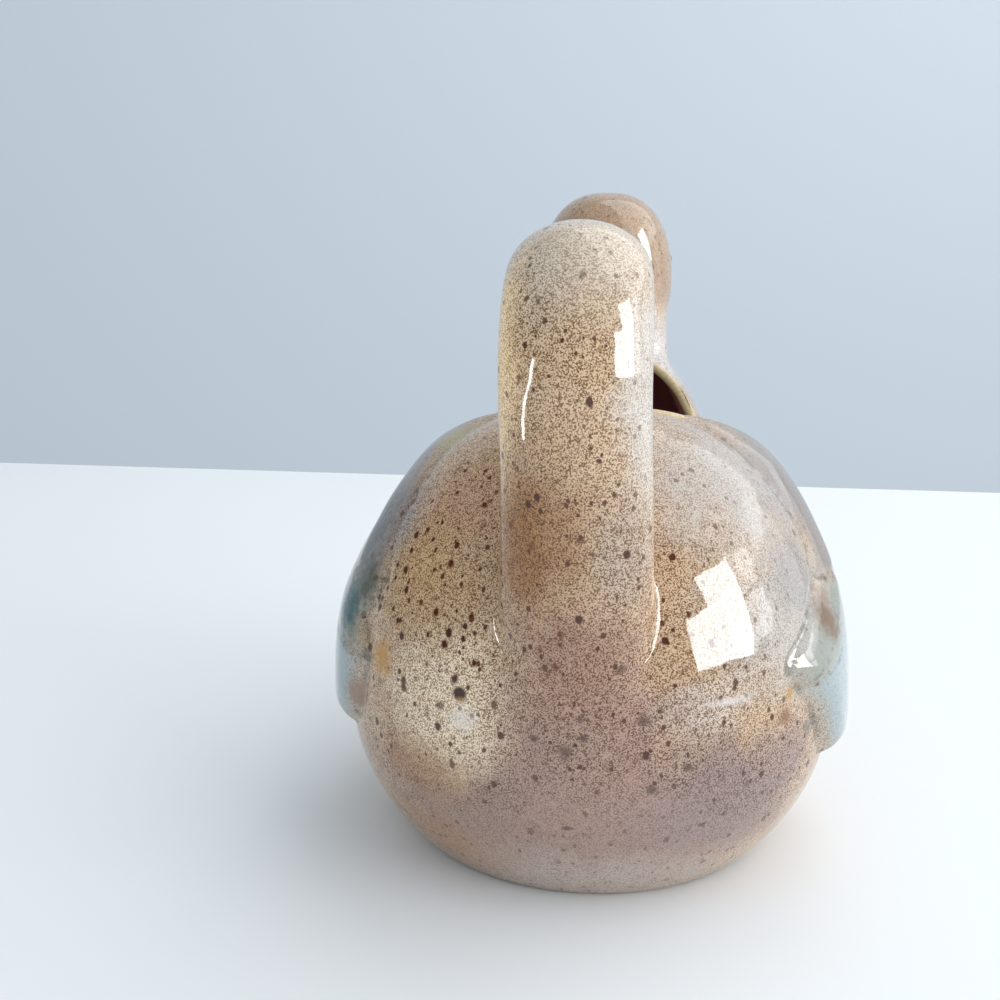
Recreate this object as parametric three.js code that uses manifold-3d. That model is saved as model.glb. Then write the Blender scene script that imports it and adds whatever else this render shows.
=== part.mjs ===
// Duck pitcher in glazed stoneware, made of the clay members that a potter lutes together.
// Millimetres. The duck faces +Y, its right side is +X, and +Z is up.
// The origin lies on the table, under the middle of the body's widest section.

import * as THREE from 'three';
import { mergeVertices } from 'three/addons/utils/BufferGeometryUtils.js';
import Module from 'manifold-3d';

const wasm = await Module();
wasm.setup();

// Clay walls and the joint between two members
const seatGap = 0.3;
const mergeDistance = 1e-4;
const wallThickness = 4.5;
const baseThickness = 6;

// Body: an egg that is longer in front, fuller above and cut flat below
const body = {
  halfWidth: 55.8,
  front: 72,
  rear: 52,
  above: 64.3,
  below: 49.9,
  fullness: 0.89,
};
const girdleHeight = 33.6;
const crownHeight = girdleHeight + body.above;

// Neck rings: height over the crown, setbacks from the breast, half width
const napeSetback = 37.4;
const neckRings = [
  { rise: -51.9, frontSetback: 9, backSetback: 62, halfWidth: 32 },
  { rise: -27.9, frontSetback: 1, backSetback: 65, halfWidth: 31.5 },
  { rise: -9.9, frontSetback: 1, backSetback: 66, halfWidth: 24 },
  { rise: 0.1, frontSetback: 2.7, backSetback: 64, halfWidth: 19 },
  { rise: 5.1, frontSetback: 3, backSetback: 50, halfWidth: 17 },
  { rise: 9.1, frontSetback: 3, backSetback: napeSetback, halfWidth: 16.5 },
  { rise: 18.1, frontSetback: 2, backSetback: 35, halfWidth: 16.6 },
];
const neckSquareness = 0.8;

// Filling mouth behind the nape, an ellipse in plan, with a rounded coil on its edge
const mouthHalfWidth = 20.5;
const mouthHalfLength = 17.5;
const mouthToNape = 0.6;
const mouthCentreY = body.front - napeSetback - mouthToNape - mouthHalfLength;
const rimRadius = 2.3;

// Head, carried on the neck, and its hollow
const head = {
  halfWidth: 17.7,
  front: 26,
  rear: 22,
  above: 24.4,
  below: 18,
  fullness: 0.82,
};
const headSetback = 14;
const headRise = 24.1;
const headWall = 4;

// Bill: two half tubes that leave a pouring slot at the tip
const billWall = 2;
const billDroop = 3;
const billDrop = 1;
const billEmbed = 9;
const billSections = [
  { along: 0, halfWidth: 9.5, halfHeight: 8 },
  { along: 12, halfWidth: 8.8, halfHeight: 7 },
  { along: 22, halfWidth: 11, halfHeight: 6.2 },
  { along: 29, halfWidth: 10.5, halfHeight: 5.8 },
  { along: 32, halfWidth: 8, halfHeight: 5.4 },
];

// Eyes: beads pressed on the sides of the head
const eyeRadius = 3;
const eyeProud = 1.8;
const eyeForward = 8;
const eyeRise = 7;

// Tail handle: an oval strap on a looped centre line
const handleRise = 40;
const handleSpineInset = 3.8;
const handleRootHeight = 56;
const handleRootEmbed = 14;
const handleBend = 11;
const handleArchRise = 20;
const handleGrip = { width: 27, thickness: 20.6 };
const handleSections = [
  { share: 0, width: 30.5, thickness: 21 },
  { share: 0.33, width: 27, thickness: 18 },
  { share: 0.6, ...handleGrip },
  { share: 0.72, width: 25, thickness: 17 },
  { share: 1, width: 20, thickness: 12 },
];

// Pads that join the two ends of the handle to the body
const tailRoot = { halfWidth: 21, proud: 9, halfHeight: 22 };
const tailRootDrop = 4;
const lug = { halfWidth: 14, halfLength: 8.5, proud: 4.5 };
const lugToRim = 0.5;

// Wings: applied relief in three stepped feather layers
const covertsThickness = 2.7;
const secondariesThickness = 3.1;
const primariesThickness = 2.9;

// Their outlines in side view: distance forward of the widest section, drop below the crown
const wing = {
  top: { forward: 6, drop: 2.9 },
  topFront: { forward: 25, drop: 12.9 },
  shoulder: { forward: 41, drop: 37.9 },
  covertsRearEdge: { forward: -5, drop: 7.9 },
  covertsRearBow: { forward: -14, drop: 19.9 },
  covertsTip: { forward: -22, drop: 30.9 },
  covertsBelly: { forward: 2, drop: 40.9 },
  covertsFront: { forward: 26, drop: 46.9 },
  secondariesBow: { forward: -28, drop: 41.9 },
  secondariesTip: { forward: -31, drop: 52.9 },
  secondariesNotch: { forward: -13, drop: 54.9 },
  secondariesBelly: { forward: 10, drop: 56.9 },
  secondariesFront: { forward: 32, drop: 51.9 },
  primariesBow: { forward: -19, drop: 62.9 },
  primariesTip: { forward: -20.5, drop: 70.9 },
  primariesBelly: { forward: 2, drop: 74.9 },
  primariesLowerFront: { forward: 26, drop: 64.9 },
  primariesFront: { forward: 35, drop: 50.9 },
};

// Facets
const bodyRings = 18;
const bodySides = 32;
const headRings = 12;
const headSides = 20;
const neckSides = 24;
const handleSteps = 24;
const handleSides = 14;
const rimSteps = 32;
const rimSides = 8;
const padSides = 20;
const padRings = 10;
const eyeSides = 10;
const eyeRings = 6;
const curveSteps = 5;

// Crumbs that a thin cut edge leaves are wiped off below this share of the member
const crumbShare = 0.01;

// A number with its sign kept and its size raised to a power
const signedPower = (value, power) => Math.sign(value) * Math.abs(value) ** power;

// A closed skin through rings of points, with a fan on each end, or a loop where the rings meet
function loft(rings, looped = false) {
  const sides = rings[0].length;
  const points = rings.flat();
  const triangles = [];
  const at = (ring, side) => (ring % rings.length) * sides + (side % sides);
  const bands = looped ? rings.length : rings.length - 1;
  for (let ring = 0; ring < bands; ring += 1) {
    for (let side = 0; side < sides; side += 1) {
      triangles.push(at(ring, side), at(ring, side + 1), at(ring + 1, side + 1));
      triangles.push(at(ring, side), at(ring + 1, side + 1), at(ring + 1, side));
    }
  }
  if (!looped) {
    for (const ring of [0, rings.length - 1]) {
      const middle = new THREE.Vector3();
      rings[ring].forEach((point) => middle.addScaledVector(point, 1 / sides));
      points.push(middle);
      for (let side = 0; side < sides; side += 1) {
        const edge = [at(ring, side), at(ring, side + 1)];
        triangles.push(points.length - 1, ...(ring === 0 ? edge.reverse() : edge));
      }
    }
  }
  const geometry = new THREE.BufferGeometry().setFromPoints(points);
  geometry.setIndex(triangles);
  return geometry;
}

// Six times the volume that a closed indexed skin holds, negative where it is inside out
function signedVolume(positions, index) {
  const corner = [new THREE.Vector3(), new THREE.Vector3(), new THREE.Vector3()];
  let sum = 0;
  for (let first = 0; first < index.length; first += 3) {
    corner.forEach((point, turn) => point.fromArray(positions, 3 * index[first + turn]));
    sum += corner[0].dot(corner[1].cross(corner[2]));
  }
  return sum;
}

// A solid for cutting and joining, from any closed geometry
function solid(geometry) {
  const plain = geometry.clone();
  plain.deleteAttribute('normal');
  plain.deleteAttribute('uv');
  const merged = mergeVertices(plain, mergeDistance);
  const vertProperties = new Float32Array(merged.attributes.position.array);
  const triVerts = new Uint32Array(merged.index.array);
  if (signedVolume(vertProperties, triVerts) < 0) {
    for (let first = 0; first < triVerts.length; first += 3) {
      triVerts.subarray(first + 1, first + 3).reverse();
    }
  }
  const mesh = new wasm.Mesh({ numProp: 3, vertProperties, triVerts });
  mesh.merge();
  return new wasm.Manifold(mesh);
}

// A box between two corners
function block(low, high) {
  const size = new THREE.Vector3().subVectors(high, low);
  const middle = new THREE.Vector3().addVectors(low, high).multiplyScalar(0.5);
  const geometry = new THREE.BoxGeometry(size.x, size.y, size.z);
  return solid(geometry.translate(middle.x, middle.y, middle.z));
}

// An egg about a centre, its six reaches grown alike
function ovoid(shape, centre, grow, ringCount, sideCount) {
  const rings = [];
  const tip = 0.04;
  for (let ring = 0; ring <= ringCount; ring += 1) {
    const turn = THREE.MathUtils.lerp(tip, Math.PI - tip, ring / ringCount);
    const reach = (turn < Math.PI / 2 ? shape.rear : shape.front) + grow;
    const points = [];
    for (let side = 0; side < sideCount; side += 1) {
      const angle = (2 * Math.PI * side) / sideCount;
      const lift = Math.sin(angle);
      const power = lift > 0 ? shape.fullness : 1;
      const height = (lift > 0 ? shape.above : shape.below) + grow;
      const across = (shape.halfWidth + grow) * signedPower(Math.cos(angle), power);
      points.push(new THREE.Vector3(
        centre.x + Math.sin(turn) * across,
        centre.y - reach * Math.cos(turn),
        centre.z + Math.sin(turn) * height * signedPower(lift, power),
      ));
    }
    rings.push(points);
  }
  return solid(loft(rings));
}

// True where a point lies inside such an egg
function insideOvoid(shape, centre, grow, point) {
  const offset = point.clone().sub(centre);
  const reach = (offset.y < 0 ? shape.rear : shape.front) + grow;
  const height = (offset.z > 0 ? shape.above : shape.below) + grow;
  const section = 1 - (offset.y / reach) ** 2;
  if (section <= 0) {
    return false;
  }
  const power = 2 / (offset.z > 0 ? shape.fullness : 1);
  const across = Math.abs(offset.x) / ((shape.halfWidth + grow) * Math.sqrt(section));
  const lift = Math.abs(offset.z) / (height * Math.sqrt(section));
  return across ** power + lift ** power < 1;
}

// The highest point at which a test holds, on the vertical line through x and y
function topWhere(test, x, y, highest, lowest) {
  const step = 0.1;
  for (let z = highest; z > lowest; z -= step) {
    if (test(new THREE.Vector3(x, y, z))) {
      return z;
    }
  }
  return lowest;
}

const bodyCentre = new THREE.Vector3(0, 0, girdleHeight);
const bodySolid = (grow) => ovoid(body, bodyCentre, grow, bodyRings, bodySides);
const insideBody = (grow, point) => insideOvoid(body, bodyCentre, grow, point);
const backHeight = (y) => topWhere((point) => insideBody(0, point), 0, y, crownHeight + 1, 0);

// Where the body's rear surface lies at a height over the girdle
const rearAt = (z) => -body.rear * Math.sqrt(1 - ((z - girdleHeight) / body.above) ** 2);

// Neck section at a height: its middle, half length and half width
const neckHeights = neckRings.map((ring) => crownHeight + ring.rise);
const neckTop = neckHeights[neckHeights.length - 1];
function neckSection(z) {
  const last = neckRings.length - 1;
  const above = neckHeights.findIndex((height) => height > z);
  const upper = THREE.MathUtils.clamp(above < 0 ? last : above, 1, last);
  const share = (z - neckHeights[upper - 1]) / (neckHeights[upper] - neckHeights[upper - 1]);
  const between = (key) => THREE.MathUtils.lerp(
    neckRings[upper - 1][key],
    neckRings[upper][key],
    THREE.MathUtils.clamp(share, 0, 1),
  );
  const front = body.front - between('frontSetback');
  const back = body.front - between('backSetback');
  return { middle: (front + back) / 2, halfLength: (front - back) / 2, halfWidth: between('halfWidth') };
}

// The neck as a filled funnel, its sides grown, running past its ends where asked
function neckFunnel(grow, below, above) {
  const levels = [...neckHeights];
  levels[0] -= below;
  levels[levels.length - 1] += above;
  const rings = levels.map((z) => {
    const section = neckSection(z);
    const points = [];
    for (let side = 0; side < neckSides; side += 1) {
      const angle = (2 * Math.PI * side) / neckSides;
      const across = signedPower(Math.cos(angle), neckSquareness);
      const along = signedPower(Math.sin(angle), neckSquareness);
      points.push(new THREE.Vector3(
        (section.halfWidth + grow) * across,
        section.middle + (section.halfLength + grow) * along,
        z,
      ));
    }
    return points;
  });
  return solid(loft(rings));
}

function insideNeck(grow, point) {
  if (point.z < neckHeights[0] || point.z > neckTop) {
    return false;
  }
  const section = neckSection(point.z);
  const power = 2 / neckSquareness;
  const across = Math.abs(point.x) / (section.halfWidth + grow);
  const along = Math.abs(point.y - section.middle) / (section.halfLength + grow);
  return across ** power + along ** power < 1;
}

// Rim coil: a round bead along the mouth's edge, at the middle of the wall
function rimCoil(grow) {
  const midWall = -wallThickness / 2;
  const inWall = (point) => insideBody(midWall, point) || insideNeck(midWall, point);
  const edge = [];
  for (let step = 0; step < rimSteps; step += 1) {
    const angle = (2 * Math.PI * step) / rimSteps;
    const x = mouthHalfWidth * Math.cos(angle);
    const y = mouthCentreY + mouthHalfLength * Math.sin(angle);
    edge.push(new THREE.Vector3(x, y, topWhere(inWall, x, y, neckTop, girdleHeight)));
  }
  const neighbours = (step) => [edge.at(step - 1), edge[step], edge[(step + 1) % rimSteps]];
  const eased = edge.map((point, step) => {
    const mean = neighbours(step).reduce((sum, near) => sum + near.z, 0) / 3;
    return new THREE.Vector3(point.x, point.y, mean);
  });
  const up = new THREE.Vector3(0, 0, 1);
  const rings = eased.map((point, step) => {
    const along = eased[(step + 1) % rimSteps].clone().sub(eased.at(step - 1)).normalize();
    const outward = new THREE.Vector3().crossVectors(along, up).normalize();
    const crosswise = new THREE.Vector3().crossVectors(outward, along);
    const points = [];
    for (let side = 0; side < rimSides; side += 1) {
      const angle = (2 * Math.PI * side) / rimSides;
      points.push(point.clone()
        .addScaledVector(outward, (rimRadius + grow) * Math.cos(angle))
        .addScaledVector(crosswise, (rimRadius + grow) * Math.sin(angle)));
    }
    return points;
  });
  return solid(loft(rings, true));
}

// The upright plug of air that the mouth cuts through the wall
function mouthPlug() {
  const depth = 2 * wallThickness + body.above / 2;
  const height = neckTop - crownHeight + depth;
  const plug = new THREE.CylinderGeometry(1, 1, height, rimSteps);
  plug.rotateX(Math.PI / 2);
  plug.scale(mouthHalfWidth, mouthHalfLength, 1);
  return solid(plug.translate(0, mouthCentreY, crownHeight - depth + height / 2));
}

// Head and bill
const headCentre = new THREE.Vector3(0, body.front - headSetback, crownHeight + headRise);
const headSolid = (grow) => ovoid(head, headCentre, grow, headRings, headSides);
const billRootY = headCentre.y + head.front - billEmbed;
const billRootZ = headCentre.z - billDrop;
const billLength = billSections[billSections.length - 1].along;

function billTube(grow, overrun) {
  const last = billSections.length - 1;
  const rings = billSections.map((section, index) => {
    const extra = index === 0 ? -overrun : overrun * (index === last);
    const points = [];
    for (let side = 0; side < headSides; side += 1) {
      const angle = (2 * Math.PI * side) / headSides;
      points.push(new THREE.Vector3(
        (section.halfWidth + grow) * Math.cos(angle),
        billRootY + section.along + extra,
        billRootZ - (billDroop * section.along) / billLength
          + (section.halfHeight + grow) * Math.sin(angle),
      ));
    }
    return points;
  });
  return solid(loft(rings));
}

// Half space over or under the bill's parting line, from the head outwards
function billHalf(side) {
  const reach = 4 * billLength;
  const half = new THREE.BoxGeometry(reach, reach, reach);
  half.translate(0, 0, side * (reach + seatGap) / 2);
  half.rotateX(-Math.atan2(billDroop, billLength));
  return solid(half.translate(0, billRootY, billRootZ));
}

function eyeBead(side) {
  const section = Math.sqrt(1 - (eyeForward / head.front) ** 2);
  const power = 2 / head.fullness;
  const lift = eyeRise / (head.above * section);
  const out = head.halfWidth * section * (1 - lift ** power) ** (1 / power);
  const bead = new THREE.SphereGeometry(eyeRadius, eyeSides, eyeRings);
  bead.translate(
    side * (out + eyeProud - eyeRadius),
    headCentre.y + eyeForward,
    headCentre.z + eyeRise,
  );
  return solid(bead);
}

// Handle: centre line in the plane of symmetry, drawn as (y, z), and an oval swept along it
const lugCentreY = mouthCentreY - mouthHalfLength - rimRadius - lugToRim - lug.halfLength;
const handleSpineY = -body.rear + handleSpineInset;
const handleApex = crownHeight + handleRise - handleGrip.thickness / 2;
const handleArchBase = handleApex - handleArchRise;

function handleLine() {
  const rootY = rearAt(handleRootHeight) + handleRootEmbed;
  const apexY = handleSpineY + handleBend;
  const landingZ = backHeight(lugCentreY) - wallThickness;
  const line = new THREE.Path();
  line.moveTo(rootY, handleRootHeight - handleRootEmbed / 2);
  line.quadraticCurveTo(handleSpineY, handleRootHeight, handleSpineY, handleArchBase);
  line.absellipse(apexY, handleArchBase, handleBend, handleArchRise, Math.PI, Math.PI / 2, true);
  line.absellipse(
    apexY,
    landingZ,
    lugCentreY - apexY,
    handleApex - landingZ,
    Math.PI / 2,
    0,
    true,
  );
  return line;
}

// The strap's section at a share of the loop's length
function handleSection(share) {
  const upper = Math.max(1, handleSections.findIndex((section) => section.share >= share));
  const [from, to] = handleSections.slice(upper - 1, upper + 1);
  const between = (share - from.share) / (to.share - from.share);
  return {
    width: THREE.MathUtils.lerp(from.width, to.width, between),
    thickness: THREE.MathUtils.lerp(from.thickness, to.thickness, between),
  };
}

function handleSweep(grow) {
  const line = handleLine();
  const rings = [];
  for (let step = 0; step <= handleSteps; step += 1) {
    const share = step / handleSteps;
    const point = line.getPointAt(share);
    const along = line.getTangentAt(share);
    const section = handleSection(share);
    const points = [];
    for (let side = 0; side < handleSides; side += 1) {
      const angle = (2 * Math.PI * side) / handleSides;
      const across = (section.width / 2 + grow) * Math.cos(angle);
      const through = (section.thickness / 2 + grow) * Math.sin(angle);
      points.push(new THREE.Vector3(across, point.x - along.y * through, point.y + along.x * through));
    }
    rings.push(points);
  }
  return solid(loft(rings));
}

// A pad that swells from the body's surface
function pad(halfWidth, halfLength, halfHeight, y, z) {
  const swell = new THREE.SphereGeometry(1, padSides, padRings);
  swell.scale(halfWidth, halfLength, halfHeight);
  return solid(swell.translate(0, y, z));
}

// An outline in side view as (y, z): smooth runs from the start, closed by a straight line
function wingOutline(start, ...runs) {
  const place = ({ forward, drop }) => new THREE.Vector2(forward, crownHeight - drop);
  const shape = new THREE.Shape();
  shape.moveTo(...place(start));
  runs.forEach((points) => shape.splineThru(points.map(place)));
  shape.lineTo(...place(start));
  return shape;
}

// The space that an outline takes in side view, out to one side
function sidePrism(outline, side) {
  const prism = new THREE.ExtrudeGeometry(outline, {
    depth: 2 * body.halfWidth,
    bevelEnabled: false,
    curveSegments: curveSteps,
  });
  const toSide = new THREE.Matrix4().makeBasis(
    new THREE.Vector3(0, 1, 0),
    new THREE.Vector3(0, 0, 1),
    new THREE.Vector3(side, 0, 0),
  );
  return prism.applyMatrix4(toSide);
}

// One feather layer, cut from a skin on the body, clear of its neighbours
// It ends a joint's width below and behind the layers over it
function wingLayer(outline, thickness, side, neighbours, layersOver) {
  const skin = bodySolid(seatGap + thickness).subtract(bodySolid(seatGap));
  let layer = skin.intersect(solid(sidePrism(outline, side)));
  for (const over of layersOver) {
    for (const [back, down] of [[0, 0], [seatGap, 0], [0, seatGap]]) {
      layer = layer.subtract(solid(sidePrism(over, side).translate(0, -back, -down)));
    }
  }
  return layer.subtract(neighbours);
}

// Finishes
const speckledTan = { color: 0xb79f87, roughness: 0.12, metalness: 0 };
const mauveBrown = { color: 0xa08d84, roughness: 0.12, metalness: 0 };
const paleBlue = { color: 0x9fb6ba, roughness: 0.12, metalness: 0 };
const ochre = { color: 0x9a7446, roughness: 0.15, metalness: 0 };
const creamEdge = { color: 0xd9cdb2, roughness: 0.2, metalness: 0 };
const bareClay = { color: 0xc2b09a, roughness: 0.85, metalness: 0 };
const darkBrown = { color: 0x2b1c14, roughness: 0.1, metalness: 0 };

const pitcher = new THREE.Group();

// A cut member without its crumbs
function wiped(shape) {
  const bodies = shape.decompose();
  const largest = Math.max(...bodies.map((piece) => piece.volume()));
  const kept = bodies.filter((piece) => piece.volume() > crumbShare * largest);
  return kept.reduce((whole, piece) => whole.add(piece));
}

// Add one member to the pitcher as a named mesh
function addMember(name, shape, finish) {
  const { vertProperties, triVerts } = wiped(shape).getMesh();
  const geometry = new THREE.BufferGeometry();
  geometry.setAttribute('position', new THREE.BufferAttribute(vertProperties, 3));
  geometry.setIndex(new THREE.BufferAttribute(triVerts, 1));
  geometry.computeVertexNormals();
  const mesh = new THREE.Mesh(geometry, new THREE.MeshStandardMaterial(finish));
  mesh.name = name;
  pitcher.add(mesh);
}

// Vessel: base, body, rim and neck
const vast = 4 * (body.front + body.rear);
const mouth = mouthPlug();
const rimRoom = rimCoil(seatGap);
const neckBore = neckFunnel(-wallThickness, wallThickness, wallThickness);
const neckRoom = neckFunnel(seatGap, 0, seatGap);
const bodyRoom = bodySolid(seatGap);
const overBase = block(
  new THREE.Vector3(-vast, -vast, baseThickness + seatGap),
  new THREE.Vector3(vast, vast, vast),
);
const slabSpace = block(
  new THREE.Vector3(-vast, -vast, 0),
  new THREE.Vector3(vast, vast, baseThickness),
);

addMember('base_slab', bodySolid(0).intersect(slabSpace), bareClay);
addMember(
  'body_shell',
  bodySolid(0)
    .subtract(bodySolid(-wallThickness))
    .intersect(overBase)
    .subtract(mouth)
    .subtract(neckBore)
    .subtract(rimRoom),
  speckledTan,
);
addMember('mouth_rim', rimCoil(0), creamEdge);
addMember(
  'neck',
  neckFunnel(0, 0, 0).subtract(neckBore).subtract(bodyRoom).subtract(mouth).subtract(rimRoom),
  speckledTan,
);

// Head, bill and eyes
const headRoom = headSolid(seatGap);
const billBore = billTube(-billWall, billEmbed);
const bill = billTube(0, 0).subtract(billBore).subtract(headRoom);
addMember(
  'head',
  headSolid(0).subtract(headSolid(-headWall)).subtract(neckRoom).subtract(billBore),
  speckledTan,
);
addMember('upper_bill', bill.intersect(billHalf(1)), ochre);
addMember('lower_bill', bill.intersect(billHalf(-1)), ochre);
addMember('right_eye', eyeBead(1).subtract(headRoom), darkBrown);
addMember('left_eye', eyeBead(-1).subtract(headRoom), darkBrown);

// Wings
const coverts = wingOutline(
  wing.shoulder,
  [wing.topFront, wing.top],
  [wing.covertsRearEdge, wing.covertsRearBow, wing.covertsTip],
  [wing.covertsBelly, wing.covertsFront, wing.shoulder],
);
const secondaries = wingOutline(
  wing.covertsTip,
  [wing.secondariesBow, wing.secondariesTip],
  [wing.secondariesNotch, wing.secondariesBelly, wing.secondariesFront, wing.shoulder],
);
const primaries = wingOutline(
  wing.secondariesNotch,
  [wing.primariesBow, wing.primariesTip],
  [wing.primariesBelly, wing.primariesLowerFront, wing.primariesFront],
);
const wingLayers = [
  { name: 'coverts', outline: coverts, thickness: covertsThickness, finish: mauveBrown },
  { name: 'secondaries', outline: secondaries, thickness: secondariesThickness, finish: ochre },
  { name: 'primaries', outline: primaries, thickness: primariesThickness, finish: paleBlue },
];
const aboveWings = rimRoom.add(neckRoom);
for (const [hand, side] of [['right', 1], ['left', -1]]) {
  wingLayers.forEach(({ name, outline, thickness, finish }, index) => {
    const layersOver = wingLayers.slice(0, index).map((layer) => layer.outline);
    const layer = wingLayer(outline, thickness, side, aboveWings, layersOver);
    addMember(`${hand}_wing_${name}`, layer, finish);
  });
}

// Handle and the pads at its ends
const handleRoom = handleSweep(seatGap);
const tailRootZ = handleRootHeight - tailRootDrop;
addMember('tail_handle', handleSweep(0).subtract(bodyRoom), speckledTan);
addMember(
  'tail_root',
  pad(tailRoot.halfWidth, tailRoot.proud, tailRoot.halfHeight, rearAt(tailRootZ), tailRootZ)
    .subtract(bodyRoom)
    .subtract(handleRoom),
  mauveBrown,
);
addMember(
  'handle_lug',
  pad(lug.halfWidth, lug.halfLength, lug.proud, lugCentreY, backHeight(lugCentreY))
    .subtract(bodyRoom)
    .subtract(handleRoom)
    .subtract(rimRoom),
  speckledTan,
);

export default pitcher;
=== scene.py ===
"""Looks of a glazed stoneware duck pitcher.

The clay members are modelled in millimetres, run together as slip and glaze run, and parted
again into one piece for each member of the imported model. The duck faces +Y, its right side
is +X and +Z is up. Every finished piece is in metres.
"""

import logging
import math
from collections.abc import Callable, Sequence
from dataclasses import astuple, dataclass, replace
from enum import Enum

import bpy
import numpy as np
from mathutils import Matrix, Vector


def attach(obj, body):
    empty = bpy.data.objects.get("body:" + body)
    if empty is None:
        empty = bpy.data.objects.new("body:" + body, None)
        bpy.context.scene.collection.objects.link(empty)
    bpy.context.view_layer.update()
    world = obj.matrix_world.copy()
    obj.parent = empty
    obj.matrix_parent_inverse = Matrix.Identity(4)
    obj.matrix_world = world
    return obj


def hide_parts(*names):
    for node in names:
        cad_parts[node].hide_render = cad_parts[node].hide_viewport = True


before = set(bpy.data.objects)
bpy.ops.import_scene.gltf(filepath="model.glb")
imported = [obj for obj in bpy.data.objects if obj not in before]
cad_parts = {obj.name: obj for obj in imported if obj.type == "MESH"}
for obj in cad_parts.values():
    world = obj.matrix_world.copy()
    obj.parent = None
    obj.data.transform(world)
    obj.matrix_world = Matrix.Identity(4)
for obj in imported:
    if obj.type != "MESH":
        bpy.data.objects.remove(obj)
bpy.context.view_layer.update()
LOG = logging.getLogger("duck_pitcher")

MM = 0.001
BODY = "root"
MERGE = 1e-4
TINY = 1e-12
VAST = 400.0
SOFT_LEVELS = 20
SOFT_FACTOR = 0.5

Object = bpy.types.Object
Socket = bpy.types.NodeSocket
Points = np.ndarray
Triple = tuple[float, float, float]


class Cut(Enum):
    """What a boolean keeps of a piece."""

    AWAY = "DIFFERENCE"
    INSIDE = "INTERSECT"


class Side(Enum):
    """The duck's two sides, as the sign of X."""

    RIGHT = 1
    LEFT = -1


def take(piece: Object) -> None:
    """Select one piece alone and make it active.

    Args:
        piece: The piece.
    """
    bpy.ops.object.select_all(action="DESELECT")
    piece.select_set(True)
    bpy.context.view_layer.objects.active = piece


def named(name: str) -> Object:
    """Name the object that the last operator made.

    Args:
        name: The name for the object and its mesh.

    Returns:
        The object.
    """
    piece = bpy.context.object
    piece.name = name
    piece.data.name = name
    return piece


def points_of(piece: Object) -> Points:
    """The piece's vertices.

    Args:
        piece: The piece.

    Returns:
        One row for each vertex.
    """
    flat = np.empty(len(piece.data.vertices) * 3)
    piece.data.vertices.foreach_get("co", flat)
    return flat.reshape(-1, 3)


def set_points(piece: Object, points: Points) -> None:
    """Move the piece's vertices to the given rows."""
    piece.data.vertices.foreach_set("co", points.ravel())
    piece.data.update()


def finish_mesh(piece: Object, fill: bool) -> None:
    """Merge doubles, close open ends if asked, and turn the faces outwards.

    Args:
        piece: The piece to close.
        fill: Whether open ends are filled.
    """
    take(piece)
    bpy.ops.object.mode_set(mode="EDIT")
    bpy.ops.mesh.select_all(action="SELECT")
    bpy.ops.mesh.remove_doubles(threshold=MERGE)
    if fill:
        bpy.ops.mesh.fill_holes(sides=0)
    bpy.ops.mesh.select_all(action="SELECT")
    bpy.ops.mesh.normals_make_consistent(inside=False)
    bpy.ops.object.mode_set(mode="OBJECT")


def modify(piece: Object, kind: str, **settings: object) -> None:
    """Add one modifier to a piece and apply it.

    Args:
        piece: The piece to change.
        kind: The modifier's type.
        **settings: Values for the modifier's properties.
    """
    take(piece)
    modifier = piece.modifiers.new(kind.lower(), kind)
    modifier.show_viewport = False
    for key, value in settings.items():
        setattr(modifier, key, value)
    bpy.ops.object.modifier_apply(modifier=modifier.name)


def discard(*pieces: Object) -> None:
    """Delete tools that are no longer needed."""
    for piece in pieces:
        bpy.data.objects.remove(piece)


def cut(piece: Object, tool: Object, how: Cut, spare_tool: bool = False) -> Object:
    """Cut a piece by a closed tool.

    Args:
        piece: The piece that changes.
        tool: The piece that cuts.
        how: What is kept.
        spare_tool: Whether the tool is needed again, or else it is used up.

    Returns:
        The changed piece.
    """
    modify(piece, "BOOLEAN", operation=how.value, solver="MANIFOLD", object=tool)
    if not spare_tool:
        discard(tool)
    return piece


def copy_of(piece: Object, name: str) -> Object:
    """A copy of a piece with a mesh of its own.

    Args:
        piece: The piece, which stays as it is.
        name: The copy's name.

    Returns:
        The copy.
    """
    take(piece)
    bpy.ops.object.duplicate()
    return named(name)


def joined(name: str, *pieces: Object) -> Object:
    """Several pieces as one object.

    Args:
        name: The name of the whole.
        *pieces: The pieces, which are used up.

    Returns:
        The whole.
    """
    take(pieces[0])
    for piece in pieces[1:]:
        piece.select_set(True)
    if len(pieces) > 1:
        bpy.ops.object.join()
    return named(name)


def half_space(name: str, point: Triple, normal: Triple) -> Object:
    """A large block that fills all that lies beyond a plane.

    Args:
        name: The tool's name.
        point: A point on the plane.
        normal: The direction that the block lies in.

    Returns:
        The block.
    """
    aim = Vector(normal).normalized()
    centre = Vector(point) + aim * (VAST / 2)
    turn = aim.to_track_quat("Z", "Y").to_euler()
    bpy.ops.object.select_all(action="DESELECT")
    bpy.ops.mesh.primitive_cube_add(size=VAST, location=centre, rotation=turn)
    bpy.ops.object.transform_apply()
    return named(name)


def ball(name: str, centre: Triple, reaches: Triple) -> Object:
    """A smooth oval ball.

    Args:
        name: The piece's name.
        centre: Its middle.
        reaches: Its half sizes along X, Y and Z.

    Returns:
        The ball.
    """
    bpy.ops.object.select_all(action="DESELECT")
    bpy.ops.mesh.primitive_uv_sphere_add(
        segments=64, ring_count=32, radius=1.0, location=centre, scale=reaches
    )
    bpy.ops.object.transform_apply()
    return named(name)


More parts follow.
